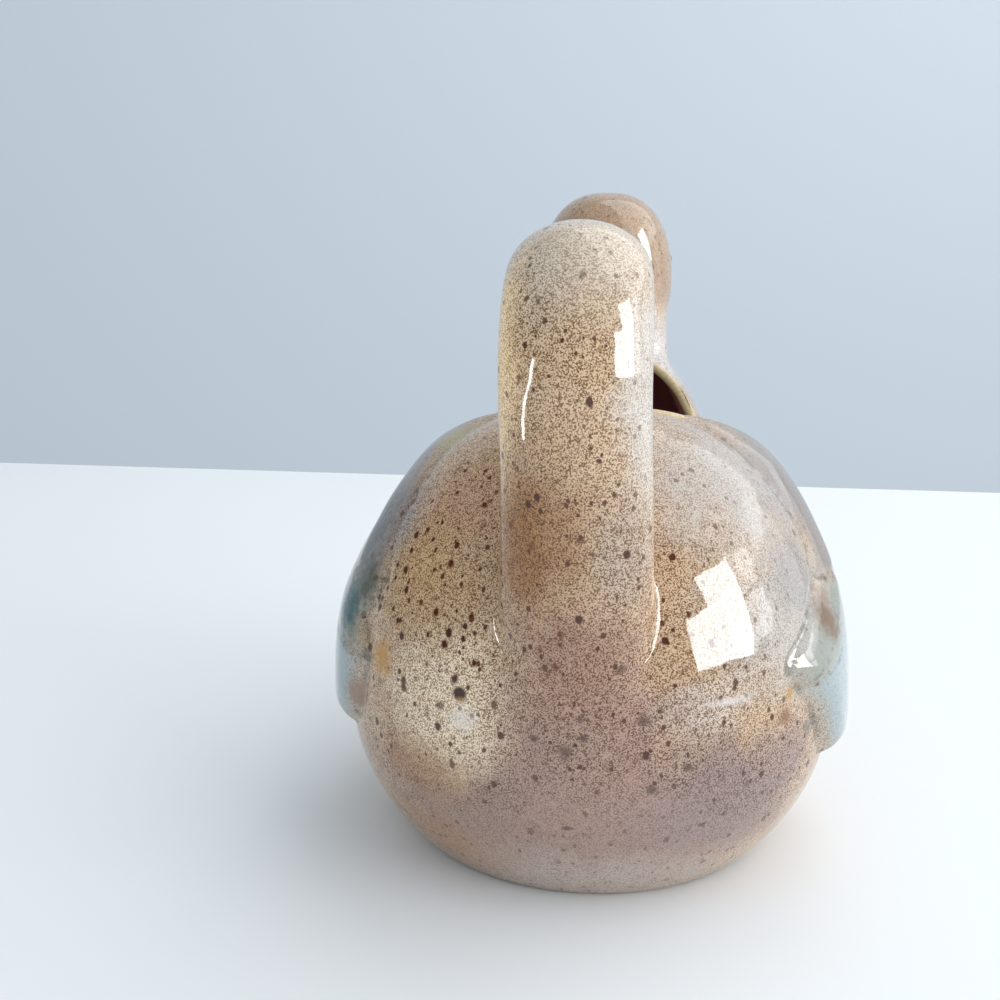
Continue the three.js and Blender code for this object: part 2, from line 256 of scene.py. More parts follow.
def rolled(name: str, steps: int, sides: int, surface: Callable, fill: bool = True) -> Object:
    """A flat sheet rolled into a tube by a surface formula.

    Args:
        name: The tube's name.
        steps: How many faces lie along it.
        sides: How many faces lie round it.
        surface: Gives points from the share along and the angle round.
        fill: Whether the tube's ends are open and get filled.

    Returns:
        The closed tube.
    """
    bpy.ops.object.select_all(action="DESELECT")
    bpy.ops.mesh.primitive_grid_add(x_subdivisions=steps, y_subdivisions=sides, size=1.0)
    piece = named(name)
    flat = points_of(piece)
    set_points(piece, surface(flat[:, 0] + 0.5, 2 * math.pi * (flat[:, 1] + 0.5)))
    finish_mesh(piece, fill)
    return piece


def signed_power(values: Points, power: float | Points) -> Points:
    """Values with their signs kept and their sizes raised to a power."""
    return np.sign(values) * np.abs(values) ** power


def eased(values: Points, low: float, high: float) -> Points:
    """A soft step from 0 at low to 1 at high."""
    share = np.clip((values - low) / (high - low), 0.0, 1.0)
    return share * share * (3 - 2 * share)


def smooth_run(stations: Sequence[float], values: Sequence[float], at: Points) -> Points:
    """A smooth line through values that never swings past them.

    Args:
        stations: Where the values stand, rising.
        values: The values there.
        at: Where the line is read.

    Returns:
        The line's height at each place.
    """
    x, y = np.asarray(stations, float), np.asarray(values, float)
    chord = np.diff(y) / np.diff(x)
    slope = np.concatenate([chord[:1], (chord[:-1] + chord[1:]) / 2, chord[-1:]])
    slope[1:-1][chord[:-1] * chord[1:] <= 0] = 0.0
    index = np.clip(np.searchsorted(x, at) - 1, 0, len(x) - 2)
    width = x[index + 1] - x[index]
    t = np.clip((at - x[index]) / width, 0.0, 1.0)
    rise = (y[index] * (1 + 2 * t) + width * slope[index] * t) * (1 - t) ** 2
    fall = (y[index + 1] * (3 - 2 * t) - width * slope[index + 1] * (1 - t)) * t**2
    return rise + fall


def sections_at(sections: Sequence[object], at: Points) -> list[Points]:
    """The sizes of a run of sections, read smoothly between them.

    Args:
        sections: Dataclass rows, each with its place first and its sizes after it.
        at: Where the sizes are read.

    Returns:
        One array for each size.
    """
    places, *sizes = zip(*map(astuple, sections))
    return [smooth_run(places, size, at) for size in sizes]


def spline(points: Sequence[tuple[float, float]], steps: int = 5) -> Points:
    """A curve through points in a plane.

    Args:
        points: The points in order.
        steps: How many short lines lie between two points.

    Returns:
        Points along the curve.
    """
    given = np.asarray(points, float)
    padded = np.vstack([given[:1], given, given[-1:]])
    run = []
    for index in range(len(given) - 1):
        p0, p1, p2, p3 = padded[index : index + 4]
        v0, v1 = (p2 - p0) / 2, (p3 - p1) / 2
        t = np.linspace(0, 1, steps, endpoint=False)[:, None]
        run.append(
            (2 * p1 - 2 * p2 + v0 + v1) * t**3
            + (-3 * p1 + 3 * p2 - 2 * v0 - v1) * t**2
            + v0 * t
            + p1
        )
    return np.vstack([*run, given[-1:]])


def distance_to_line(points: Points, line: Points) -> Points:
    """The distance from points to a line of short stretches, in any dimension.

    Args:
        points: The points.
        line: The line's corners in order.

    Returns:
        The distance of each point.
    """
    best = np.full(len(points), np.inf)
    for start, end in zip(line[:-1], line[1:]):
        along = end - start
        offset = points - start
        share = np.clip(offset @ along / max(along @ along, TINY), 0, 1)
        offset -= share[:, None] * along
        best = np.minimum(best, np.einsum("ij,ij->i", offset, offset))
    return np.sqrt(best)


def inside_outline(points: Points, outline: Points) -> Points:
    """Which points in a plane lie inside a closed outline.

    Args:
        points: The points.
        outline: The outline's corners in order, the first not repeated.

    Returns:
        True for each point inside.
    """
    inside = np.zeros(len(points), bool)
    for (ax, ay), (bx, by) in zip(outline, np.roll(outline, -1, axis=0)):
        if ay == by:
            continue
        crosses = (ay > points[:, 1]) != (by > points[:, 1])
        inside ^= crosses & (points[:, 0] < (bx - ax) * (points[:, 1] - ay) / (by - ay) + ax)
    return inside


@dataclass(frozen=True)
class Egg:
    """An egg with six reaches of its own, fuller in its upper half."""

    centre: Triple
    half_width: float
    front: float
    rear: float
    above: float
    below: float
    fullness: float

    def add(self, name: str, grow: float = 0.0, segments: int = 128, rings: int = 64) -> Object:
        """Model the egg from a rolled sheet that is drawn in at both ends.

        Args:
            name: The piece's name.
            grow: How far each reach is grown.
            segments: How many faces lie round it.
            rings: How many faces lie from end to end.

        Returns:
            The egg.
        """
        def surface(along: Points, angle: Points) -> Points:
            """The egg's skin.

            Args:
                along: Shares of the way along.
                angle: Angles round.

            Returns:
                Points.
            """
            section = np.sin(math.pi * along)
            upper = np.sin(angle) > 0
            power = np.where(upper, self.fullness, 1.0)
            x = section * signed_power(np.cos(angle), power)
            y = -np.cos(math.pi * along)
            z = section * signed_power(np.sin(angle), power)
            lengthwise = np.where(y > 0, self.front, self.rear)
            upright = np.where(upper, self.above, self.below)
            sideways = np.full(len(x), self.half_width)
            reaches = np.column_stack([sideways, lengthwise, upright]) + grow
            return np.column_stack([x, y, z]) * reaches + np.array(self.centre)

        return rolled(name, rings, segments, surface, fill=False)

    def inside(self, points: Points, grow: float = 0.0) -> Points:
        """Which points lie inside the egg.

        Args:
            points: The points.
            grow: How far each reach is grown.

        Returns:
            True for each point inside.
        """
        offset = points - np.array(self.centre)
        upper = offset[:, 2] > 0
        power = np.where(upper, 2 / self.fullness, 2.0)
        along = offset[:, 1] / (np.where(offset[:, 1] > 0, self.front, self.rear) + grow)
        lift = np.abs(offset[:, 2]) / (np.where(upper, self.above, self.below) + grow)
        across = np.abs(offset[:, 0]) / (self.half_width + grow)
        oval = (across**power + lift**power) ** (1 / power)
        return oval**2 + along**2 < 1


Run = tuple[tuple[float, float], ...]
LAYERS = ("coverts", "secondaries", "primaries")


@dataclass(frozen=True)
class Outline:
    """A closed outline in side view, drawn as smooth runs of (y, z) that meet at corners."""

    runs: tuple[Run, ...]

    def line(self) -> Points:
        """The outline's points, the first not repeated."""
        return np.vstack([spline(run)[:-1] for run in self.runs])

    def depth(self, side_view: Points) -> Points:
        """How far points lie inside the outline.

        Args:
            side_view: The points as rows of (y, z).

        Returns:
            The depth of each point, negative outside.
        """
        line = self.line()
        away = distance_to_line(side_view, np.vstack([line, line[:1]]))
        return np.where(inside_outline(side_view, line), away, -away)


@dataclass(frozen=True)
class Wing:
    """Low-relief wing on one side, of three lapped layers.

    The rear edge is given in three runs from top to bottom, one for each layer. The two seams
    part the layers, and the overlap is the hidden upper edge of the lowest layer.
    """

    side: Side
    top: Run
    rear: tuple[Run, Run, Run]
    bottom: Run
    upper_seam: Run
    lower_seam: Run
    overlap: Run
    thickness: Run
    roll: Run = ((28, 6), (60, 10), (72, 13), (84, 13), (95, 8))
    pillow: float = 0.35
    pillow_roll: float = 4.0
    groove: float = 0.3
    groove_width: float = 0.9
    rear_band: tuple[float, float] = (6.0, 20.0)
    front_fade: tuple[float, float] = (46.0, 8.0)
    front_share: float = 0.25
    inner_face: float = 18.0
    outer_face: float = 100.0
    margin: float = 6.0

    def outlines(self) -> dict[str, Outline]:
        """The outlines of the whole wing and of its layers, by name."""
        upper, middle, lower = self.rear
        return {
            "wing": Outline((self.top, upper + middle[1:] + lower[1:], self.bottom)),
            "coverts": Outline((self.top, upper, self.upper_seam)),
            "secondaries": Outline((middle, self.lower_seam, (self.top[0], upper[-1]))),
            "primaries": Outline((lower, self.bottom, self.overlap)),
        }

    def near(self, points: Points) -> Points:
        """Which points may touch the wing.

        Args:
            points: The points.

        Returns:
            True for each point on this side and about the wing.
        """
        line = self.outlines()["wing"].line()
        low, high = line.min(axis=0) - self.margin, line.max(axis=0) + self.margin
        within = ((points[:, 1:] > low) & (points[:, 1:] < high)).all(axis=1)
        return within & (points[:, 0] * self.side.value > self.inner_face)

    def depths(self, points: Points) -> dict[str, Points]:
        """How far points lie inside the wing and each of its layers.

        Args:
            points: The points.

        Returns:
            The depths by the outline's name.
        """
        near = self.near(points)
        found = {}
        for name, outline in self.outlines().items():
            found[name] = np.full(len(points), -VAST)
            found[name][near] = outline.depth(points[near, 1:])
        return found

    def relief(self, points: Points) -> Points:
        """How far the wing stands off the body.

        Args:
            points: Points of the body's surface.

        Returns:
            The height of the relief at each point.
        """
        start, end = self.front_fade
        strength = self.front_share + (1 - self.front_share) * eased(-points[:, 1], -start, -end)
        depths = self.depths(points)
        whole = depths["wing"]
        thickness = smooth_run(*zip(*self.thickness), points[:, 2])
        roll = smooth_run(*zip(*self.roll), points[:, 2])
        height = thickness * np.sin(math.pi / 2 * np.clip(whole / roll, 0, 1))
        rear = 1 - eased(whole, *self.rear_band)
        puff = np.zeros(len(points))
        grooves = np.zeros(len(points))
        covered = np.zeros(len(points), bool)
        for name in LAYERS:
            depth = depths[name]
            puff = np.maximum(puff, np.sin(math.pi / 2 * np.clip(depth / self.pillow_roll, 0, 1)))
            line = np.exp(-((depth / self.groove_width) ** 2))
            grooves = np.maximum(grooves, np.where(covered, 0.0, line))
            covered |= depth > 0
        return (height + rear * (self.pillow * puff - self.groove * grooves)) * strength

    def region(self, name: str, core: Object) -> Object:
        """The space that one layer takes.

        Args:
            name: The layer's name.
            core: The body that the layer stands on, which stays as it is.

        Returns:
            A closed tool.
        """
        outline = self.outlines()[name].line()
        count = len(outline)
        lows = np.column_stack([np.full(count, self.side.value * self.inner_face), outline])
        highs = np.column_stack([np.full(count, self.side.value * self.outer_face), outline])
        mesh = bpy.data.meshes.new(name)
        walls = [(i, (i + 1) % count, count + (i + 1) % count, count + i) for i in range(count)]
        caps = [tuple(range(count)), tuple(range(count, 2 * count))]
        mesh.from_pydata(np.vstack([lows, highs]).tolist(), [], walls + caps)
        piece = bpy.data.objects.new(name, mesh)
        bpy.context.scene.collection.objects.link(piece)
        finish_mesh(piece, False)
        return cut(piece, core, Cut.AWAY, spare_tool=True)


@dataclass(frozen=True)
class Body:
    """The hollow body: an egg cut flat below, with the wings in relief on it."""

    egg: Egg
    wings: tuple[Wing, Wing]
    wall: float = 4.5
    base: float = 6.0
    segments: int = 420
    rings: int = 270

    def outer(self) -> Object:
        """The filled outer shape with the wings' relief.

        Returns:
            The closed shape.
        """
        piece = self.egg.add("body_form", segments=self.segments, rings=self.rings)
        points = points_of(piece)
        normals = np.empty(points.size)
        piece.data.vertex_normals.foreach_get("vector", normals)
        relief = sum(wing.relief(points) for wing in self.wings)
        set_points(piece, points + normals.reshape(-1, 3) * relief[:, None])
        return cut(piece, half_space("under_table", (0, 0, 0), (0, 0, -1)), Cut.AWAY)

    def depths(self, points: Points) -> dict[str, Points]:
        """How far each point lies inside either wing and its layers, by name."""
        right, left = (wing.depths(points) for wing in self.wings)
        return {name: np.maximum(right[name], left[name]) for name in right}

    def inner(self) -> Object:
        """The hollow that the drink fills."""
        piece = self.egg.add("body_hollow", -self.wall)
        return cut(piece, half_space("floor_slab", (0, 0, self.base), (0, 0, -1)), Cut.AWAY)


@dataclass(frozen=True)
class NeckRing:
    """One level of the neck: its height and its reaches."""

    height: float
    front: float
    back: float
    half_width: float


@dataclass(frozen=True)
class Neck:
    """The funnel that rises from the breast and carries the head."""

    rings: tuple[NeckRing, ...]
    squareness: float = 0.8
    top_pull: int = 8
    steps: int = 72
    sides: int = 96

    def add(self, name: str, grow: float = 0.0, over: float = 0.0) -> Object:
        """Model the neck as a filled funnel.

        Args:
            name: The piece's name.
            grow: How far its sides are grown.
            over: How far it runs past its top.

        Returns:
            The funnel.
        """
        low, high = self.rings[0].height, self.rings[-1].height

        def surface(along: Points, angle: Points) -> Points:
            """The funnel's skin.

            Args:
                along: Shares of the way along.
                angle: Angles round.

            Returns:
                Points.
            """
            z = low + along * (high - low)
            front, back, wide = sections_at(self.rings, z)
            x = (wide + grow) * signed_power(np.cos(angle), self.squareness)
            reach = (front - back) / 2 + grow
            y = (front + back) / 2 + reach * signed_power(np.sin(angle), self.squareness)
            return np.column_stack([x, y, z + over * along**self.top_pull])

        return rolled(name, self.steps, self.sides, surface)

    def inside(self, points: Points, grow: float = 0.0) -> Points:
        """Which points lie inside the funnel.

        Args:
            points: The points.
            grow: How far its sides are grown.

        Returns:
            True for each point inside.
        """
        z = points[:, 2]
        front, back, wide = sections_at(self.rings, z)
        power = 2 / self.squareness
        across = np.abs(points[:, 0]) / (wide + grow)
        along = np.abs(points[:, 1] - (front + back) / 2) / ((front - back) / 2 + grow)
        level = (z >= self.rings[0].height) & (z <= self.rings[-1].height)
        return level & (across**power + along**power < 1)


@dataclass(frozen=True)
class BillSection:
    """One section of the bill: its place along the bill and its half sizes."""

    along: float
    half_width: float
    half_height: float


@dataclass(frozen=True)
class Bill:
    """The hollow bill that pours."""

    root: Triple
    droop: float
    wall: float
    sections: tuple[BillSection, ...]
    overrun: float = 8.0
    steps: int = 64
    sides: int = 64

    def add(self, name: str, grow: float = 0.0, before: float = 0.0, past: float = 0.0) -> Object:
        """Model the bill as a filled tube.

        Args:
            name: The piece's name.
            grow: How far its sides are grown.
            before: How far it runs back past its root.
            past: How far it runs on past its tip.

        Returns:
            The tube.
        """
        length = self.sections[-1].along

        def surface(along: Points, angle: Points) -> Points:
            """The tube's skin.

            Args:
                along: Shares of the way along.
                angle: Angles round.

            Returns:
                Points.
            """
            reach = -before + along * (length + before + past)
            wide, high = sections_at(self.sections, np.clip(reach, 0, length))
            z = self.root[2] - self.droop * reach / length + (high + grow) * np.sin(angle)
            return np.column_stack([(wide + grow) * np.cos(angle), self.root[1] + reach, z])

        return rolled(name, self.steps, self.sides, surface)

    def parting(self, name: str, upward: bool) -> Object:
        """The space over or under the bill's parting line.

        Args:
            name: The tool's name.
            upward: Whether the space lies over the line.

        Returns:
            A closed tool.
        """
        length = self.sections[-1].along
        normal = (0.0, self.droop, length) if upward else (0.0, -self.droop, -length)
        return half_space(name, self.root, normal)


@dataclass(frozen=True)
class HandleSection:
    """One section of the strap: its share of the loop, its width and its thickness."""

    share: float
    width: float
    thickness: float


@dataclass(frozen=True)
class Handle:
    """The tail that loops up as the handle, from the rear of the body to its back."""

    root: tuple[float, float]
    root_height: float
    spine: float
    arch_base: float
    apex: tuple[float, float]
    landing: tuple[float, float]
    sections: tuple[HandleSection, ...]
    lean: float = -0.7
    lean_levels: tuple[float, float] = (84.0, 112.0)
    steps: int = 200
    sides: int = 72

    def line(self) -> Points:
        """The loop's centre line as rows of (y, z), evenly spaced.

        Returns:
            The rows.
        """
        t = np.linspace(0, 1, self.steps)[:, None]
        start, bend = np.array(self.root), np.array([self.spine, self.root_height])
        end = np.array([self.spine, self.arch_base])
        rise = start * (1 - t) ** 2 + 2 * bend * t * (1 - t) + end * t**2
        turn = t * math.pi / 2
        apex, landing = np.array(self.apex), np.array(self.landing)
        over = np.hstack([
            apex[0] - (apex[0] - self.spine) * np.cos(turn),
            self.arch_base + (apex[1] - self.arch_base) * np.sin(turn),
        ])
        down = np.hstack([
            apex[0] + (landing[0] - apex[0]) * np.sin(turn),
            landing[1] + (apex[1] - landing[1]) * np.cos(turn),
        ])
        whole = np.vstack([rise[:-1], over[:-1], down])
        length = np.concatenate([[0], np.cumsum(np.linalg.norm(np.diff(whole, axis=0), axis=1))])
        even = np.linspace(0, length[-1], self.steps)
        return np.column_stack([np.interp(even, length, whole[:, i]) for i in (0, 1)])

    def add(self, name: str, grow: float = 0.0) -> Object:
        """Model the strap along its loop.

        Args:
            name: The piece's name.
            grow: How far its sides are grown.

        Returns:
            The strap.
        """
        line = self.line()
        tangent = np.gradient(line, axis=0)
        tangent /= np.linalg.norm(tangent, axis=1)[:, None]
        even = np.linspace(0, 1, self.steps)

        def surface(along: Points, angle: Points) -> Points:
            """The strap's skin.

            Args:
                along: Shares of the way along.
                angle: Angles round.

            Returns:
                Points.
            """
            y, z, ty, tz = (
                np.interp(along, even, run)
                for run in (line[:, 0], line[:, 1], tangent[:, 0], tangent[:, 1])
            )
            width, thick = sections_at(self.sections, along)
            through = (thick / 2 + grow) * np.sin(angle)
            across = (width / 2 + grow) * np.cos(angle) + self.lean * eased(z, *self.lean_levels)
            return np.column_stack([across, y - tz * through, z + ty * through])

        return rolled(name, self.steps, self.sides, surface)


@dataclass(frozen=True)
class Mouth:
    """The filling mouth behind the nape, an oval in plan."""

    centre: float
    half_width: float
    half_length: float
    depth: float
    top: float
    steps: int = 96
    level_step: float = 0.1
    even_share: int = 8

    def plug(self) -> Object:
        """The upright plug of air that opens the mouth.

        Returns:
            A closed tool.
        """
        bpy.ops.object.select_all(action="DESELECT")
        bpy.ops.mesh.primitive_cylinder_add(
            vertices=self.steps,
            radius=1.0,
            depth=1.0,
            location=(0.0, self.centre, (self.top + self.depth) / 2),
            scale=(self.half_width, self.half_length, self.top - self.depth),
        )
        bpy.ops.object.transform_apply()
        return named("mouth_plug")

    def within(self, points: Points, grow: float, line: Points) -> Points:
        """Which points lie inside the oval and below the rim.

        Args:
            points: The points.
            grow: How far the oval is grown.
            line: The rim's line.

        Returns:
            True for each such point.
        """
        across = points[:, 0] / (self.half_width + grow)
        along = (points[:, 1] - self.centre) / (self.half_length + grow)
        angle = np.arctan2(along, across)
        round_line = np.linspace(0, 2 * math.pi, len(line), endpoint=False)
        level = np.interp(angle, round_line, line[:, 2], period=2 * math.pi)
        return (across**2 + along**2 < 1) & (points[:, 2] < level)

    def edge(self, under: Callable[[Points], Points]) -> Points:
        """The closed line that the rim follows, at the middle of the wall.

        Args:
            under: True for each point that lies under the middle of the wall.

        Returns:
            The line's points.
        """
        steps = self.steps
        angle = np.linspace(0, 2 * math.pi, steps, endpoint=False)
        x = self.half_width * np.cos(angle)
        y = self.centre + self.half_length * np.sin(angle)
        levels = np.arange(self.depth, self.top, self.level_step)
        z = np.empty(steps)
        for index in range(steps):
            here = np.full((len(levels), 3), (x[index], y[index], 0.0))
            here[:, 2] = levels
            z[index] = levels[under(here)].max()
        window = np.hanning(steps // self.even_share)
        padded = np.concatenate([z, z, z])
        smooth = np.convolve(padded, window / window.sum(), mode="same")[steps : 2 * steps]
        return np.column_stack([x, y, smooth])


@dataclass(frozen=True)
class Rim:
    """The rounded coil that finishes the mouth's edge."""

    line: Points
    radius: float
    sides: int = 28

    def add(self, name: str) -> Object:
        """Model the coil along its closed line.

        Args:
            name: The piece's name.

        Returns:
            The coil.
        """
        closed = np.vstack([self.line, self.line[:1]])
        ahead = np.roll(self.line, -1, axis=0) - np.roll(self.line, 1, axis=0)
        ahead /= np.linalg.norm(ahead, axis=1)[:, None]
        outward = np.cross(ahead, [0.0, 0.0, 1.0])
        outward /= np.linalg.norm(outward, axis=1)[:, None]
        crosswise = np.cross(outward, ahead)
        even = np.linspace(0, 1, len(closed))
        frames = [closed, *(np.vstack([rows, rows[:1]]) for rows in (outward, crosswise))]

        def surface(along: Points, angle: Points) -> Points:
            """The coil's skin.

            Args:
                along: Shares of the way along.
                angle: Angles round.

            Returns:
                Points.
            """
            at, out, up = (
                np.column_stack([np.interp(along, even, rows[:, i]) for i in range(3)])
                for rows in frames
            )
            way = out * np.cos(angle)[:, None] + up * np.sin(angle)[:, None]
            return at + self.radius * way

        return rolled(name, 2 * len(self.line), self.sides, surface, fill=False)


@dataclass(frozen=True)
class Pad:
    """A soft swelling where the handle is luted to the body."""

    centre: Triple
    reaches: Triple
    room: Triple

    def add(self, name: str) -> Object:
        """The swelling itself."""
        return ball(name, self.centre, self.reaches)

    def region(self, name: str) -> Object:
        """The space round the swelling that goes to its piece."""
        return ball(name, self.centre, self.room)


@dataclass(frozen=True)
class Blend:
    """A joint that is smoothed over by hand: where it lies and how long it is worked."""

    centre: Triple
    reach: Triple
    turns: int
    core: float = 0.5

    def weights(self, points: Points) -> Points:
        """How strongly each point is worked."""
        away = np.linalg.norm((points - np.array(self.centre)) / np.array(self.reach), axis=1)
        return 1 - eased(away, self.core, 1.0)


def soften(piece: Object, turns: int, weights: Points | None = None) -> None:
    """Smooth a piece all over, or by a weight at each vertex.

    Args:
        piece: The piece to smooth.
        turns: How many times it is smoothed.
        weights: How strongly each vertex takes part.
    """
    if weights is None:
        modify(piece, "SMOOTH", factor=SOFT_FACTOR, iterations=turns)
        return
    group = piece.vertex_groups.new(name="soft")
    levels = np.round(weights * SOFT_LEVELS).astype(int)
    for level in range(1, SOFT_LEVELS + 1):
        chosen = np.nonzero(levels == level)[0]
        if len(chosen):
            group.add(chosen.tolist(), level / SOFT_LEVELS, "REPLACE")
    modify(piece, "SMOOTH", factor=SOFT_FACTOR, iterations=turns, vertex_group=group.name)
    piece.vertex_groups.clear()


def largest_part(piece: Object) -> Object:
    """A cut piece without its crumbs.

    Args:
        piece: The piece, which is used up.

    Returns:
        Its largest part, under the same name.
    """
    name = piece.name
    take(piece)
    bpy.ops.object.mode_set(mode="EDIT")
    bpy.ops.mesh.select_all(action="SELECT")
    bpy.ops.mesh.separate(type="LOOSE")
    bpy.ops.object.mode_set(mode="OBJECT")
    parts = sorted(bpy.context.selected_objects, key=lambda part: len(part.data.vertices))
    discard(*parts[:-1])
    parts[-1].name = name
    parts[-1].data.name = name
    return parts[-1]


@dataclass(frozen=True)
class Pitcher:
    """The whole pitcher: the members, how they run together and where they part again."""

    body: Body
    neck: Neck
    head: Egg
    head_wall: float
    bill: Bill
    mouth: Mouth
    rim_radius: float
    handle: Handle
    tail_root: Pad
    lug: Pad
    blends: tuple[Blend, ...]
    eye_radius: float
    eye_place: Triple
    voxel: float = 0.6
    hollow_voxel: float = 1.5
    even_turns: int = 6
    skin: float = 0.5
    slack: float = 1.0
    head_base: float = 107.0
    neck_room: float = 7.0
    bill_start: float = 4.0
    bill_room: float = 2.5
    lining_room: float = 0.2

    def rim(self) -> Rim:
        """The coil on the mouth's edge.

        Returns:
            The coil's line and radius.
        """
        middle = -self.rim_radius / 2

        def under(points: Points) -> Points:
            """True for each point under the middle of the wall."""
            return self.body.egg.inside(points, middle) | self.neck.inside(points, middle)

        return Rim(self.mouth.edge(under), self.rim_radius)

    def outer(self) -> Object:
        """All the filled outer shapes run together, with their joints smoothed over.

        Returns:
            The whole form.
        """
        form = joined(
            "outer_form",
            self.body.outer(),
            self.neck.add("neck_form"),
            self.head.add("head_form"),
            self.bill.add("bill_form"),
            self.handle.add("handle_form"),
            self.tail_root.add("tail_root_form"),
            self.lug.add("lug_form"),
        )
        modify(form, "REMESH", mode="VOXEL", voxel_size=self.voxel)
        soften(form, self.even_turns)
        for blend in self.blends:
            soften(form, blend.turns, blend.weights(points_of(form)))
        return form

    def hollow(self) -> Object:
        """All that is hollow: the vessel, the neck, the head, the bill and the mouth.

        Returns:
            A closed tool.
        """
        wall, overrun = self.body.wall, self.bill.overrun
        hollow = joined(
            "hollow",
            self.body.inner(),
            self.neck.add("neck_hollow", -wall, over=wall),
            self.head.add("head_hollow", -self.head_wall),
            self.bill.add("bill_hollow", -self.bill.wall, before=overrun, past=overrun),
            self.mouth.plug(),
        )
        modify(hollow, "REMESH", mode="VOXEL", voxel_size=self.hollow_voxel)
        soften(hollow, self.even_turns)
        return hollow

    def part(self, rest: Object, tool: Object, name: str) -> Object:
        """Take one member off the form.

        Args:
            rest: The form, which loses the member.
            tool: The space that the member takes, which is used up.
            name: The member's name.

        Returns:
            The member.
        """
        member = cut(copy_of(rest, name), tool, Cut.INSIDE, spare_tool=True)
        cut(rest, tool, Cut.AWAY)
        return largest_part(member)

    def head_members(self, rest: Object) -> dict[str, Object]:
        """Take the head and the two halves of the bill off the form.

        Args:
            rest: The form, which loses them.

        Returns:
            The members by name.
        """
        top = half_space("over_neck", (0, 0, self.head_base), (0, 0, 1))
        before_handle = half_space("before_handle", (0, self.mouth.centre, 0), (0, 1, 0))
        head = self.part(rest, cut(top, before_handle, Cut.INSIDE), "head")
        head_core = self.head.add("head_core", -self.skin)
        room = self.bill_room
        beak = self.bill.add("beak_room", room, before=-self.bill_start, past=room)
        bill = self.part(head, cut(beak, head_core, Cut.AWAY), "bill")
        found = {"head": largest_part(head)}
        for name, upward in (("upper_bill", True), ("lower_bill", False)):
            half = self.bill.parting("bill_parting", upward)
            found[name] = largest_part(cut(copy_of(bill, name), half, Cut.INSIDE))
        discard(bill)
        return found

    def members(self) -> dict[str, Object]:
        """Model every member but the eyes, in millimetres.

        Returns:
            The members by name, and the whole form under the name "form".
        """
        form = self.outer()
        hollow = self.hollow()
        cut(form, hollow, Cut.AWAY)
        rest = copy_of(form, "body_shell")
        core = self.body.egg.add("core", -self.skin)
        found: dict[str, Object] = {"form": form}

        rim = self.rim()
        cut(rest, rim.add("rim_room"), Cut.AWAY)
        found["mouth_rim"] = rim.add("mouth_rim")
        found |= self.head_members(rest)
        for wing in self.body.wings:
            for layer in LAYERS:
                name = f"{wing.side.name.lower()}_wing_{layer}"
                found[name] = self.part(rest, wing.region(layer, core), name)
        spaces = {
            "tail_handle": self.handle.add("handle_room", self.slack),
            "tail_root": self.tail_root.region("tail_root_room"),
            "handle_lug": self.lug.region("lug_room"),
            "neck": self.neck.add("neck_space", self.neck_room, over=self.neck_room),
        }
        for name, space in spaces.items():
            found[name] = self.part(rest, cut(space, core, Cut.AWAY, spare_tool=True), name)
        slab = half_space("slab", (0, 0, self.body.base), (0, 0, -1))
        found["base_slab"] = self.part(rest, slab, "base_slab")
        found["body_shell"] = largest_part(rest)
        discard(core)
        return found

    def eye(self, side: Side, name: str) -> Object:
        """One pressed-on eye, cut to the head.

        Args:
            side: The side that it looks from.
            name: The piece's name.

        Returns:
            The eye.
        """
        out, forward, up = self.eye_place
        reach = self.eye_radius
        bead = ball(name, (side.value * out, forward, up), (reach, reach, reach))
        return cut(bead, self.head.add("under_eye", -self.skin), Cut.AWAY)


def paint(code: str) -> tuple[float, float, float, float]:
    """A colour from its web code.

    Args:
        code: The code, such as "#ffffff".

    Returns:
        Its linear light and full cover.
    """
    parts = [int(code[index : index + 2], 16) / 255 for index in (1, 3, 5)]
    linear = [p / 12.92 if p <= 0.04045 else ((p + 0.055) / 1.055) ** 2.4 for p in parts]
    return (*linear, 1.0)


